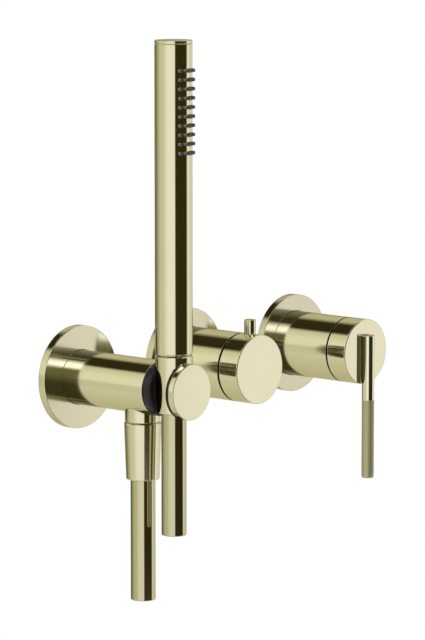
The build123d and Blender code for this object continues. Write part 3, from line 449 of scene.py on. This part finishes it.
def turned_metal(
    name, axis, colour, roughness, line_depth, lines=FINE_LINES, drawn=0.0, edge=0.0,
    metallic=1.0, gap_shade=None,
):
    """Metal with very fine lines round its turning axis, and perhaps painted shade in a gap."""
    centre, along = AXES[axis]
    material = empty_material(name)
    tree = material.node_tree
    place = object_place(tree)
    centred = measured_from(tree, centre, place)
    parts = add(tree, "ShaderNodeSeparateXYZ", {"Vector": centred}).outputs
    across = [parts[direction] for direction in "XYZ" if direction != along]
    disc = add(tree, "ShaderNodeCombineXYZ", dict(enumerate(across))).outputs[0]
    path = maths(tree, "ADD", length_of(tree, disc), parts[along])
    line = add(
        tree, "ShaderNodeTexNoise", {"W": path, "Scale": lines, "Detail": 2}, noise_dimensions="1D"
    ).outputs[0]
    cloud = clouds(tree, place, METAL_CLOUDS)
    bump = add(
        tree, "ShaderNodeBump", {"Height": line, "Strength": 1.0, "Distance": line_depth}
    )
    if edge:
        soften_edges(tree, bump, edge, samples=6)
    tone = two_tone(tree, cloud, colour, METAL_SHADE)
    # Painted shade in the gap between sleeve and knob: near black within the half width, soft at its
    # edges
    if gap_shade:
        middle, half = gap_shade
        off = maths(tree, "ABSOLUTE", maths(tree, "ADD", parts[along], middle))
        clear = smooth_step(tree, off, half - GAP_SHADE_BLUR, half + GAP_SHADE_BLUR)
        tone = blend_colours(tree, clear, GAP_SHADE_COLOUR, tone)
    uneven = maths(tree, "MULTIPLY_ADD", line, LINE_SHARE, cloud)
    shader = add(
        tree,
        "ShaderNodeBsdfPrincipled",
        {
            "Base Color": tone,
            "Metallic": metallic,
            "Specular Tint": (*[c ** 0.5 for c in colour], 1),
            "Roughness": between(
                tree, uneven, roughness * (1 - METAL_SPREAD), roughness * (1 + METAL_SPREAD)
            ),
            "Anisotropic": drawn,
        },
    )
    if drawn:
        # Along the axis, and a little off it so that end faces have a direction too
        stretch = add(
            tree, "ShaderNodeVectorTransform", {"Vector": (0.0, 1.0, 0.02)},
            vector_type="VECTOR", convert_from="OBJECT", convert_to="WORLD",
        ).outputs[0]
        tree.links.new(stretch, shader.inputs["Tangent"])
    return finish_material(material, shader, bump.outputs[0])


def gold(name, axis, tone=1.0, gap_shade=None, soft=True):
    """Champagne gold: drawn on a level axis and polished on an upright one."""
    look = settings().finish
    level = AXES[axis][1] == "Y"
    return turned_metal(
        name,
        axis,
        [c * tone for c in look.gold],
        look.turned if level else look.polish,
        look.line_depth,
        drawn=look.drawn if level else 0.0,
        edge=look.soft_edge if soft else 0.0,
        gap_shade=gap_shade,
    )


def moulded(name, colour, roughness, ior=1.5, grain_depth=6 * MICRON, edge=0.0, specular=0.5):
    """Moulded plastic, rubber, silicone or ceramic with a fine skin grain."""
    material = empty_material(name)
    tree = material.node_tree
    place = object_place(tree)
    skin = add(
        tree, "ShaderNodeTexNoise", {"Vector": place, "Scale": SKIN_GRAIN, "Detail": 2}
    ).outputs[0]
    cloud = clouds(tree, place, SKIN_CLOUDS)
    bump = add(
        tree, "ShaderNodeBump", {"Height": skin, "Strength": SKIN_BUMP, "Distance": grain_depth}
    )
    if edge:
        soften_edges(tree, bump, edge, samples=8)
    shader = add(
        tree,
        "ShaderNodeBsdfPrincipled",
        {
            "Base Color": two_tone(tree, cloud, colour, SKIN_SHADE),
            "Roughness": between(
                tree, cloud, roughness * (1 - SKIN_SPREAD), roughness * (1 + SKIN_SPREAD)
            ),
            "IOR": ior,
            "Specular IOR Level": specular,
        },
    )
    return finish_material(material, shader, bump.outputs[0])


def make_finish(name):
    """The material of one finish, by name."""
    look = settings().finish
    golds = {
        "outlet_gold": dict(axis="outlet"),
        # These two also carry painted shade in the gap between sleeve and knob
        "diverter_gold": dict(axis="diverter", gap_shade=DIVERTER_GAP_SHADE),
        "mixer_gold": dict(axis="mixer", gap_shade=MIXER_GAP_SHADE),
        "outlet_plate_gold": dict(axis="outlet", tone=look.outlet_plate_tone),
        "diverter_plate_gold": dict(axis="diverter", tone=look.plate_tone),
        "mixer_plate_gold": dict(axis="mixer", tone=look.plate_tone),
        "neck_gold": dict(axis="hose"),
        "handset_gold": dict(axis="handset", soft=False),
        "nut_gold": dict(axis="handset"),
        "pin_gold": dict(axis="pin"),
    }
    polished = dict(roughness=look.polish, line_depth=look.line_depth)
    brass = dict(
        colour=look.brass, roughness=look.brass_rough, line_depth=4 * MICRON, lines=COARSE_LINES
    )
    metals = {
        "lever_gold": dict(axis="lever", colour=look.lever_gold, **polished),
        "grip_gold": dict(
            axis="lever", colour=look.grip_gold, roughness=look.satin, line_depth=2 * MICRON,
            lines=KNURL_LINES, metallic=look.grip_metal,
        ),
        "hose_gold": dict(axis="hose", colour=look.hose_gold, **polished),
        "handset_hose_gold": dict(axis="handset", colour=look.hose_gold, **polished),
        "outlet_brass": dict(axis="outlet", **brass),
        "diverter_brass": dict(axis="diverter", **brass),
        "mixer_brass": dict(axis="mixer", **brass),
        "tail_brass": dict(axis="hose", **brass),
        "bright_steel": dict(
            axis="outlet", colour=look.steel, roughness=look.steel_rough,
            line_depth=3 * MICRON, lines=COARSE_LINES,
        ),
    }
    mouldings = {
        "cradle_plastic": dict(
            colour=look.black, roughness=look.black_rough, edge=look.black_edge,
            specular=look.black_shine,
        ),
        "pale_plastic": dict(colour=look.white, roughness=look.white_rough),
        "disc_ceramic": dict(
            colour=look.ceramic, roughness=look.ceramic_rough, ior=1.7, grain_depth=1 * MICRON
        ),
        "seal_rubber": dict(colour=look.rubber, roughness=look.rubber_rough),
        "nozzle_silicone": dict(
            colour=look.silicone, roughness=look.silicone_rough, ior=1.42, grain_depth=4 * MICRON
        ),
    }
    for make, table in ((gold, golds), (turned_metal, metals), (moulded, mouldings)):
        if name in table:
            return make(name, **table[name])
    raise KeyError(f"there is no finish named {name}")


def finish(name):
    """The material of one finish, made once; no finish may bear a name of the frame's own."""
    if name in PLAIN_MATERIALS:
        raise ValueError(f"the frame already has a material named {name}")
    return bpy.data.materials.get(name) or make_finish(name)


def dress(name, *nodes):
    """Gives CAD nodes a finish through their material slots."""
    for node in nodes:
        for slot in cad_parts[node].material_slots:
            slot.material = finish(name)


def dress_cartridge(unit):
    """Finishes what sits inside a turning unit."""
    dress(f"{unit}_brass", f"{unit}_carrier", f"{unit}_retaining_nut", f"{unit}_stem")
    dress("pale_plastic", f"{unit}_cartridge_housing")
    dress("disc_ceramic", f"{unit}_fixed_disc", f"{unit}_moving_disc")
    dress("seal_rubber", f"{unit}_carrier_ring", f"{unit}_port_seals")
    dress("cradle_plastic", f"{unit}_glide_ring")


def lathe(profile, centre, segments):
    """A closed turned mesh about a vertical axis, from (radius, height) points, top to bottom."""
    shape = bmesh.new()
    rings = []
    for radius, height in profile:
        if radius <= 0:
            rings.append([shape.verts.new((centre[0], centre[1], height))])
            continue
        ring = []
        for step in range(segments):
            turn = 2 * math.pi * step / segments
            spot = (
                centre[0] + radius * math.cos(turn),
                centre[1] + radius * math.sin(turn),
                height,
            )
            ring.append(shape.verts.new(spot))
        rings.append(ring)
    for upper, lower in zip(rings, rings[1:]):
        for step in range(segments):
            after = (step + 1) % segments
            corners = [upper[step % len(upper)], lower[step % len(lower)]]
            if len(lower) > 1:
                corners.append(lower[after])
            if len(upper) > 1:
                corners.append(upper[after])
            shape.faces.new(corners)
    bmesh.ops.recalc_face_normals(shape, faces=shape.faces)
    return shape


def shape_object(name, shape, *materials):
    """A shape as an object of the scene, with its material slots."""
    mesh = bpy.data.meshes.new(name)
    shape.to_mesh(mesh)
    shape.free()
    for material in materials:
        mesh.materials.append(material)
    piece = bpy.data.objects.new(name, mesh)
    bpy.context.scene.collection.objects.link(piece)
    return piece


def shade_smooth(piece, angle_deg=35):
    """Smooth shading with sharp edges where the faces turn by more than the angle."""
    mesh = piece.data
    shape = bmesh.new()
    shape.from_mesh(mesh)
    for face in shape.faces:
        face.smooth = True
    for edge in shape.edges:
        if len(edge.link_faces) == 2:
            edge.smooth = edge.calc_face_angle(0) < math.radians(angle_deg)
    shape.to_mesh(mesh)
    shape.free()


def node_group(name, inputs):
    """A Geometry Nodes tree with named inputs, its input node and its output node."""
    tree = bpy.data.node_groups.new(name, "GeometryNodeTree")
    sockets = tree.interface
    sockets.new_socket("Geometry", in_out="INPUT", socket_type="NodeSocketGeometry")
    for label, kind in inputs.items():
        sockets.new_socket(label, in_out="INPUT", socket_type=f"NodeSocket{kind}")
    sockets.new_socket("Geometry", in_out="OUTPUT", socket_type="NodeSocketGeometry")
    return tree, tree.nodes.new("NodeGroupInput"), tree.nodes.new("NodeGroupOutput")


def grow(piece, tree, values):
    """Runs a Geometry Nodes tree on a piece once and keeps the result as its plain mesh."""
    modifier = piece.modifiers.new(tree.name, "NODES")
    modifier.node_group = tree
    for item in tree.interface.items_tree:
        if item.name in values:
            modifier[item.identifier] = values[item.name]
    bpy.context.view_layer.update()
    graph = bpy.context.evaluated_depsgraph_get()
    mesh = bpy.data.meshes.new_from_object(piece.evaluated_get(graph), depsgraph=graph)
    used = {face.material_index for face in mesh.polygons}
    for index in reversed(range(len(mesh.materials))):
        if mesh.materials[index] is None and index not in used:
            mesh.materials.pop(index=index)
    piece.modifiers.remove(modifier)
    plain = piece.data
    piece.data = mesh
    bpy.data.meshes.remove(plain)
    mesh.name = piece.name


def place_copies(tree, group_in, group_out, points, copy, facing, middle):
    """Ends a tree: a copy on every point, moved, realised and painted, joined to what came in."""
    copies = add(
        tree, "GeometryNodeInstanceOnPoints",
        {"Points": points, "Instance": copy, "Rotation": facing},
    ).outputs[0]
    placed = add(
        tree, "GeometryNodeTransform", {"Geometry": copies, "Translation": middle}
    ).outputs[0]
    real = add(tree, "GeometryNodeRealizeInstances", {"Geometry": placed}).outputs[0]
    painted = add(
        tree, "GeometryNodeSetMaterial",
        {"Geometry": real, "Material": group_in.outputs["Material"]},
    ).outputs[0]
    joined = add(tree, "GeometryNodeJoinGeometry")
    tree.links.new(painted, joined.inputs[0])
    tree.links.new(group_in.outputs["Geometry"], joined.inputs[0])
    tree.links.new(joined.outputs[0], group_out.inputs[0])


def rib_tree():
    """Straight ribs set round a vertical core."""
    tree, group_in, group_out = node_group("grip_ribs", {
        "Ribs": "Int",
        "Core Radius": "Float",
        "Grip Radius": "Float",
        "Length": "Float",
        "Middle": "Vector",
        "Material": "Material",
    })
    given = group_in.outputs
    ring = add(
        tree, "GeometryNodeMeshCircle", {"Vertices": given["Ribs"], "Radius": given["Core Radius"]}
    ).outputs[0]
    height = maths(tree, "SUBTRACT", given["Grip Radius"], given["Core Radius"])
    # A bar with four edges, one of which points outwards
    bar = add(
        tree, "GeometryNodeMeshCylinder",
        {"Vertices": 4, "Radius": 1.0, "Depth": given["Length"]}, fill_type="NGON",
    ).outputs["Mesh"]
    share = maths(tree, "DIVIDE", RIB_FILL, given["Ribs"])
    width = maths(tree, "MULTIPLY", share, given["Core Radius"])
    size = add(tree, "ShaderNodeCombineXYZ", {0: height, 1: width, 2: 1.0}).outputs[0]
    rib = add(tree, "GeometryNodeTransform", {"Geometry": bar, "Scale": size}).outputs[0]
    index = add(tree, "GeometryNodeInputIndex").outputs[0]
    turn = maths(tree, "DIVIDE", maths(tree, "MULTIPLY", index, 2 * math.pi), given["Ribs"])
    facing = add(tree, "ShaderNodeCombineXYZ", {2: turn}).outputs[0]
    place_copies(tree, group_in, group_out, ring, rib, facing, given["Middle"])
    return tree


def nozzle_tree():
    """Nozzles in rows and columns on the face of a vertical tube."""
    tree, group_in, group_out = node_group("nozzle_rows", {
        "Rows": "Int",
        "Columns": "Int",
        "Pitch": "Float",
        "Step": "Float",
        "Root": "Float",
        "Foot": "Vector",
        "Nozzle": "Object",
        "Material": "Material",
    })
    given = group_in.outputs
    count = maths(tree, "MULTIPLY", given["Rows"], given["Columns"])
    points = add(tree, "GeometryNodeMeshLine", {"Count": count}).outputs[0]
    index = add(tree, "GeometryNodeInputIndex").outputs[0]
    row = maths(tree, "FLOOR", maths(tree, "DIVIDE", index, given["Columns"]))
    column = maths(tree, "MODULO", index, given["Columns"])
    middle = maths(tree, "DIVIDE", maths(tree, "SUBTRACT", given["Columns"], 1.0), 2.0)
    turn = maths(tree, "MULTIPLY", maths(tree, "SUBTRACT", column, middle), given["Step"])
    across = maths(tree, "MULTIPLY", maths(tree, "SINE", turn), given["Root"])
    out = maths(tree, "MULTIPLY", maths(tree, "COSINE", turn), given["Root"])
    inwards = maths(tree, "MULTIPLY", out, -1.0)
    up = maths(tree, "MULTIPLY", row, given["Pitch"])
    spot = add(tree, "ShaderNodeCombineXYZ", {0: across, 1: inwards, 2: up}).outputs[0]
    places = add(tree, "GeometryNodeSetPosition", {"Geometry": points, "Position": spot}).outputs[0]
    nozzle = add(tree, "GeometryNodeObjectInfo", {"Object": given["Nozzle"]}).outputs["Geometry"]
    facing = add(tree, "ShaderNodeCombineXYZ", {0: math.pi / 2, 2: turn}).outputs[0]
    place_copies(tree, group_in, group_out, places, nozzle, facing, given["Foot"])
    return tree


class MIXER_OT_wall_plates(bpy.types.Operator):
    """Finish the three wall plates and their rubber rings"""

    bl_idname = "mixer.wall_plates"
    bl_label = "Wall plates"

    def execute(self, context):
        for unit in ("outlet", "diverter", "mixer"):
            dress(f"{unit}_plate_gold", f"{unit}_escutcheon")
            dress("seal_rubber", f"{unit}_escutcheon_ring")
        return {"FINISHED"}


class MIXER_OT_outlet_unit(bpy.types.Operator):
    """Finish the outlet body, its neck, nipple and non-return valve"""

    bl_idname = "mixer.outlet_unit"
    bl_label = "Outlet unit"

    def execute(self, context):
        dress("outlet_gold", "outlet_body")
        dress("neck_gold", "outlet_neck", "outlet_hose_nut")
        dress("outlet_brass", "outlet_wall_nipple")
        dress("seal_rubber", "outlet_nipple_rings", "outlet_hose_washer")
        dress("pale_plastic", "check_valve_cage", "check_valve_poppet")
        dress("bright_steel", "outlet_set_screw", "check_valve_spring")
        return {"FINISHED"}


class MIXER_OT_cradle(bpy.types.Operator):
    """Finish the black cradle, its studs and its gold front cap"""

    bl_idname = "mixer.cradle"
    bl_label = "Cradle"

    def execute(self, context):
        dress("cradle_plastic", "cradle")
        dress("bright_steel", "cradle_studs")
        dress("outlet_gold", "cradle_front_cap")
        return {"FINISHED"}


class MIXER_OT_hose_ends(bpy.types.Operator):
    """Finish the two smooth hose ends and their tails"""

    bl_idname = "mixer.hose_ends"
    bl_label = "Hose ends"

    def execute(self, context):
        dress("hose_gold", "outlet_hose_sleeve")
        dress("handset_hose_gold", "handset_hose_sleeve")
        dress("tail_brass", "outlet_hose_tail", "handset_hose_tail")
        return {"FINISHED"}


class MIXER_OT_hand_shower(bpy.types.Operator):
    """Finish the hand shower and make its strip of soft nozzles"""

    bl_idname = "mixer.hand_shower"
    bl_label = "Hand shower"

    def execute(self, context):
        dress("handset_gold", "handset_tube")
        dress("nut_gold", "handset_end_cap", "handset_connector", "handset_hose_nut")
        dress("pale_plastic", "handset_core", "handset_flow_limiter")
        dress("seal_rubber", "handset_connector_ring", "handset_hose_washer")
        size = settings().nozzle
        low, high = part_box("handset_nozzle_strip")
        strip = self.strip(size, low.z, high.z)
        nozzle = self.nozzle(size)
        grow(strip, nozzle_tree(), {
            "Rows": size.rows,
            "Columns": size.columns,
            "Pitch": size.pitch,
            "Step": size.step,
            "Root": size.root_out,
            "Foot": (OUTLET_X, -HANDSET_OUT, size.lowest),
            "Nozzle": nozzle,
            "Material": finish("nozzle_silicone"),
        })
        bpy.data.objects.remove(nozzle)
        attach(strip, "handset")
        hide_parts("handset_nozzle_strip")
        return {"FINISHED"}

    def strip(self, size, foot, top):
        """The curved band that carries the nozzles behind the tube's holes."""
        shape = bmesh.new()
        grid = {}

        def face(*spots):
            shape.faces.new([grid[spot] for spot in spots])

        for side, radius in enumerate((size.root_out - STRIP_HALF_T, size.root_out + STRIP_HALF_T)):
            for column in range(STRIP_COLUMNS + 1):
                turn = STRIP_HALF_ANGLE * (2 * column / STRIP_COLUMNS - 1)
                for row in range(STRIP_ROWS + 1):
                    spot = (
                        OUTLET_X + radius * math.sin(turn),
                        -HANDSET_OUT - radius * math.cos(turn),
                        foot + (top - foot) * row / STRIP_ROWS,
                    )
                    grid[side, column, row] = shape.verts.new(spot)
        for c in range(STRIP_COLUMNS):
            for r in range(STRIP_ROWS):
                for side in (0, 1):
                    face((side, c, r), (side, c + 1, r), (side, c + 1, r + 1), (side, c, r + 1))
        for c in range(STRIP_COLUMNS):
            for r in (0, STRIP_ROWS):
                face((0, c, r), (0, c + 1, r), (1, c + 1, r), (1, c, r))
        for r in range(STRIP_ROWS):
            for c in (0, STRIP_COLUMNS):
                face((0, c, r), (0, c, r + 1), (1, c, r + 1), (1, c, r))
        bmesh.ops.recalc_face_normals(shape, faces=shape.faces)
        strip = shape_object("hand_shower_nozzles", shape, finish("nozzle_silicone"))
        shade_smooth(strip)
        return strip

    def nozzle(self, size):
        """One soft nozzle that stands up, with its hole."""
        length = size.tip_out - size.root_out
        off = NOZZLE_ROUND * ROUND_MIDDLE
        profile = (
            (0, length - HOLE_DEPTH),
            (size.hole_r, length - HOLE_DEPTH),
            (size.hole_r, length - MOUTH_DEPTH),
            (size.hole_r + MOUTH_FLARE, length),
            (size.tip_r - NOZZLE_ROUND, length),
            (size.tip_r - off, length - off),
            (size.tip_r, length - NOZZLE_ROUND),
            (size.root_r, 0),
            (0, 0),
        )
        nozzle = shape_object("nozzle", lathe(profile, (0, 0), NOZZLE_SEGMENTS))
        shade_smooth(nozzle, angle_deg=50)
        return nozzle


class MIXER_OT_diverter_unit(bpy.types.Operator):
    """Finish the diverter's sleeve, knob, pin and cartridge"""

    bl_idname = "mixer.diverter_unit"
    bl_label = "Diverter unit"

    def execute(self, context):
        dress("diverter_gold", "diverter_trim_sleeve", "diverter_knob")
        dress("pin_gold", "diverter_pin")
        dress_cartridge("diverter")
        return {"FINISHED"}


class MIXER_OT_lever_unit(bpy.types.Operator):
    """Finish the mixer's sleeve, knob, screws and cartridge"""

    bl_idname = "mixer.lever_unit"
    bl_label = "Lever unit"

    def execute(self, context):
        dress("mixer_gold", "mixer_trim_sleeve", "mixer_knob")
        dress("bright_steel", "mixer_set_screw", "mixer_lever_screws")
        dress_cartridge("mixer")
        return {"FINISHED"}


class MIXER_OT_lever(bpy.types.Operator):
    """Make the slim lever with its ribbed grip"""

    bl_idname = "mixer.lever"
    bl_label = "Lever"

    def execute(self, context):
        size = settings().lever
        shoulder = size.top - size.rod_l
        lever = self.rod(size, shoulder)
        length = size.grip_l - size.edge
        grow(lever, rib_tree(), {
            "Ribs": size.ribs,
            "Core Radius": size.core_r,
            "Grip Radius": size.grip_r,
            "Length": length,
            "Middle": (MIXER_X, -LEVER_OUT, shoulder - length / 2),
            "Material": finish("grip_gold"),
        })
        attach(lever, "mixer_handle")
        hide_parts("mixer_lever")
        return {"FINISHED"}

    def rod(self, size, shoulder):
        """The plain rod with its rounded top, and the core of the grip below its shoulder."""
        foot = shoulder - size.grip_l
        inner = size.rod_r - TOP_ROUND
        profile = [(0, size.top), (inner - HOLD, size.top), (inner, size.top)]
        for step in range(1, TOP_STEPS + 1):
            turn = math.pi / 2 * step / TOP_STEPS
            height = size.top - TOP_ROUND + TOP_ROUND * math.cos(turn)
            profile.append((inner + TOP_ROUND * math.sin(turn), height))
        profile += [
            (size.rod_r, size.top - TOP_ROUND - HOLD),
            (size.rod_r, shoulder + STEP_TOP + HOLD),
            (size.rod_r, shoulder + STEP_TOP),
            (size.core_r, shoulder + STEP_FOOT),
            (size.core_r, shoulder),
            (size.core_r, foot + size.edge),
            (size.grip_r - size.edge, foot),
            (0, foot),
        ]
        shape = lathe(profile, (MIXER_X, -LEVER_OUT), LEVER_SEGMENTS)
        for face in shape.faces:
            if face.calc_center_median().z < shoulder + STEP_TOP:
                face.material_index = 1
        lever = shape_object("lever_with_grip", shape, finish("lever_gold"), finish("grip_gold"))
        shade_smooth(lever)
        return lever


def angle_ramp(tree, rise, run, stops):
    """A colour by the angle whose sine and cosine go as rise and run."""
    angle = maths(tree, "ARCTAN2", rise, run)
    share = maths(tree, "ADD", maths(tree, "DIVIDE", angle, 2 * math.pi), 0.5)
    ramp = add(tree, "ShaderNodeValToRGB", {0: share})
    elements = ramp.color_ramp.elements
    while len(elements) < len(stops):
        elements.new(0.5)
    # Colours come in a loop of their own, once every stop is at its place
    for element, (degrees, _) in zip(elements, stops):
        element.position = (degrees + 180) / 360
    for element, (_, colour) in zip(elements, stops):
        element.color = (*colour, 1)
    return ramp.outputs["Color"]


def tinted(tree, colour, factor, tint):
    """The colour, times a tint where the factor is 1."""
    product = add(
        tree, "ShaderNodeVectorMath", {0: colour, 1: tint}, operation="MULTIPLY"
    ).outputs["Vector"]
    return blend_colours(tree, factor, colour, product)


def panel_light(tree, way, back, right):
    """The light that comes to a mirror surface from each way."""
    front = Vector((back.x, back.y, 0)).normalized()
    height = towards(tree, way, (0, 0, 1))
    leftwards = towards(tree, way, (-1, 0, 0))
    depth = add(tree, "ShaderNodeLightPath").outputs["Glossy Depth"]
    twice = maths(tree, "GREATER_THAN", depth, SECOND_DEPTH)
    thrice = maths(tree, "GREATER_THAN", depth, THIRD_DEPTH)

    ring = angle_ramp(tree, towards(tree, way, right), towards(tree, way, front), RING_STOPS)
    low = maths(tree, "SUBTRACT", 1.0, smooth_step(tree, height, *LOW_FADE))
    ring = blend_colours(tree, maths(tree, "MULTIPLY", low, LOW_SHARE), ring, LOW_TONE)

    rear = angle_ramp(tree, height, leftwards, REAR_STOPS)
    ahead = angle_ramp(tree, height, leftwards, FRONT_STOPS)
    behind = smooth_step(tree, towards(tree, way, (0, 1, 0)), *WALL_FADE)
    around = blend_colours(tree, behind, ahead, rear)
    around = blend_colours(tree, smooth_step(tree, height, *TOP_FADE), around, TOP_TONE)

    level = maths(tree, "ABSOLUTE", maths(tree, "ADD", height, RING_DROP))
    off_ring = maths(tree, "MULTIPLY", smooth_step(tree, level, *RING_FADE), behind)
    open_side = maths(tree, "MULTIPLY", twice, maths(tree, "SUBTRACT", 1.0, behind))
    light = blend_colours(tree, maths(tree, "MAXIMUM", off_ring, open_side), ring, around)
    light = tinted(tree, light, twice, SECOND_TINT)
    return tinted(tree, light, thrice, THIRD_TINT)


def camera_axes(studio):
    """Unit vectors from the object to the camera, to its right and up."""
    turn, rise = studio.azimuth, studio.elevation
    back = Vector((
        -math.sin(turn) * math.cos(rise), -math.cos(turn) * math.cos(rise), math.sin(rise)
    ))
    right = Vector((math.cos(turn), -math.sin(turn), 0))
    return back, right, back.cross(right)


class MIXER_OT_stage(bpy.types.Operator):
    """Make the camera, floor, light tent, lamp and world"""

    bl_idname = "mixer.stage"
    bl_label = "Stage and camera"

    def execute(self, context):
        studio = settings().studio
        scene = context.scene
        back, right, up = camera_axes(studio)
        self.camera(scene, studio, back, right, up)
        self.floor(studio)
        self.tent(studio, back, right)
        self.lamp(scene, studio, back, right)
        self.world(scene, studio)
        scene.view_settings.view_transform = "Standard"
        return {"FINISHED"}

    def camera(self, scene, studio, back, right, up):
        """The camera, at the photograph's angle."""
        data = bpy.data.cameras.new("camera")
        data.sensor_fit = "VERTICAL"
        data.sensor_height = studio.sensor
        data.lens = studio.lens
        camera = bpy.data.objects.new("camera", data)
        turn = Matrix((right, up, back)).transposed()
        camera.matrix_world = Matrix.Translation(
            back * studio.distance + right * studio.aim_across + up * studio.aim_up
        ) @ turn.to_4x4()
        scene.collection.objects.link(camera)
        scene.camera = camera

    def floor(self, studio):
        """A pale round floor that fades into the backdrop."""
        middle = Vector((STAGE_MIDDLE.x, STAGE_MIDDLE.y, studio.floor_level))
        shape = bmesh.new()
        bmesh.ops.create_circle(
            shape, cap_ends=True, segments=FLOOR_SEGMENTS, radius=studio.floor_r,
            matrix=Matrix.Translation(middle),
        )
        material = empty_material("pale_floor")
        tree = material.node_tree
        radius = length_of(tree, measured_from(tree, middle, object_place(tree)))
        fade = smooth_step(tree, radius, studio.floor_r * FLOOR_FADE, studio.floor_r)
        paint = add(
            tree, "ShaderNodeBsdfDiffuse", {"Color": (*studio.floor_colour, 1)}
        ).outputs[0]
        clear = add(tree, "ShaderNodeBsdfTransparent").outputs[0]
        finish_material(
            material, add(tree, "ShaderNodeMixShader", {0: fade, 1: paint, 2: clear})
        )
        floor = shape_object("floor", shape, material)
        floor.visible_glossy = False

    def tent(self, studio, back, right):
        """A dome that only mirror surfaces meet, painted with light and dark panels."""
        shape = bmesh.new()
        bmesh.ops.create_icosphere(
            shape, subdivisions=5, radius=studio.tent_r, matrix=Matrix.Translation(STAGE_MIDDLE)
        )
        bmesh.ops.reverse_faces(shape, faces=shape.faces)
        material = empty_material("tent_panels")
        tree = material.node_tree
        centred = measured_from(tree, STAGE_MIDDLE, object_place(tree))
        way = add(
            tree, "ShaderNodeVectorMath", {0: centred}, operation="NORMALIZE"
        ).outputs["Vector"]
        light = panel_light(tree, way, back, right)
        glow = add(tree, "ShaderNodeEmission", {"Color": light, "Strength": 1.0})
        finish_material(material, glow)
        tent = shape_object("light_tent", shape, material)
        tent.visible_camera = False
        tent.visible_diffuse = False
        tent.visible_shadow = False
        tent.visible_transmission = False

    def lamp(self, scene, studio, back, right):
        """One soft lamp for the matt surfaces and the floor."""
        data = bpy.data.lights.new("soft_lamp", "AREA")
        data.shape = "DISK"
        data.size = studio.lamp_size
        data.energy = studio.lamp_power
        lamp = bpy.data.objects.new("soft_lamp", data)
        way = (back * LAMP_BACK - right * LAMP_LEFT + Vector((0, 0, LAMP_UP))).normalized()
        turn = way.to_track_quat("Z", "Y").to_matrix().to_4x4()
        lamp.matrix_world = Matrix.Translation(STAGE_MIDDLE + way * studio.lamp_distance) @ turn
        lamp.visible_glossy = False
        lamp.visible_camera = False
        scene.collection.objects.link(lamp)

    def world(self, scene, studio):
        """A white backdrop that lights matt surfaces weakly."""
        world = bpy.data.worlds.new("studio")
        scene.world = world
        world.use_nodes = True
        tree = world.node_tree
        tree.nodes.clear()
        path = add(tree, "ShaderNodeLightPath").outputs
        seen = maths(tree, "MAXIMUM", path["Is Camera Ray"], path["Is Glossy Ray"])
        seen = maths(tree, "MAXIMUM", seen, path["Is Transmission Ray"])
        strength = between(tree, seen, studio.ambient, 1.0)
        backdrop = add(
            tree, "ShaderNodeBackground", {"Color": (1, 1, 1, 1), "Strength": strength}
        )
        add(tree, "ShaderNodeOutputWorld", {"Surface": backdrop.outputs[0]})


class ShowerMixerSettings(bpy.types.PropertyGroup):
    """All settings of the shower mixer."""

    finish: PointerProperty(type=FinishSettings)
    lever: PointerProperty(type=LeverSettings)
    nozzle: PointerProperty(type=NozzleSettings)
    studio: PointerProperty(type=StudioSettings)


OPERATORS = (
    MIXER_OT_stage,
    MIXER_OT_wall_plates,
    MIXER_OT_outlet_unit,
    MIXER_OT_cradle,
    MIXER_OT_hose_ends,
    MIXER_OT_hand_shower,
    MIXER_OT_diverter_unit,
    MIXER_OT_lever_unit,
    MIXER_OT_lever,
)


class MIXER_PT_pieces(bpy.types.Panel):
    """Lists the mixer's pieces and settings"""

    bl_idname = "MIXER_PT_pieces"
    bl_label = "Shower mixer"
    bl_space_type = "VIEW_3D"
    bl_region_type = "UI"
    bl_category = "Mixer"

    def draw(self, context):
        layout = self.layout
        for operator in OPERATORS:
            layout.operator(operator.bl_idname)
        groups = context.scene.shower_mixer
        for name in ("finish", "lever", "nozzle", "studio"):
            box = layout.box()
            box.label(text=name.capitalize())
            group = getattr(groups, name)
            for prop in group.bl_rna.properties:
                if prop.identifier not in ("rna_type", "name"):
                    box.prop(group, prop.identifier)


CLASSES = (
    FinishSettings,
    LeverSettings,
    NozzleSettings,
    StudioSettings,
    ShowerMixerSettings,
    *OPERATORS,
    MIXER_PT_pieces,
)


def register():
    """Registers the settings, the operators and the panel."""
    for cls in CLASSES:
        bpy.utils.register_class(cls)
    bpy.types.Scene.shower_mixer = PointerProperty(type=ShowerMixerSettings)


def unregister():
    """Takes out what register put in."""
    del bpy.types.Scene.shower_mixer
    for cls in reversed(CLASSES):
        bpy.utils.unregister_class(cls)


def main():
    """Makes every piece in order."""
    register()
    for operator in OPERATORS:
        group, name = operator.bl_idname.split(".")
        getattr(getattr(bpy.ops, group), name)()


if __name__ == "__main__":
    main()
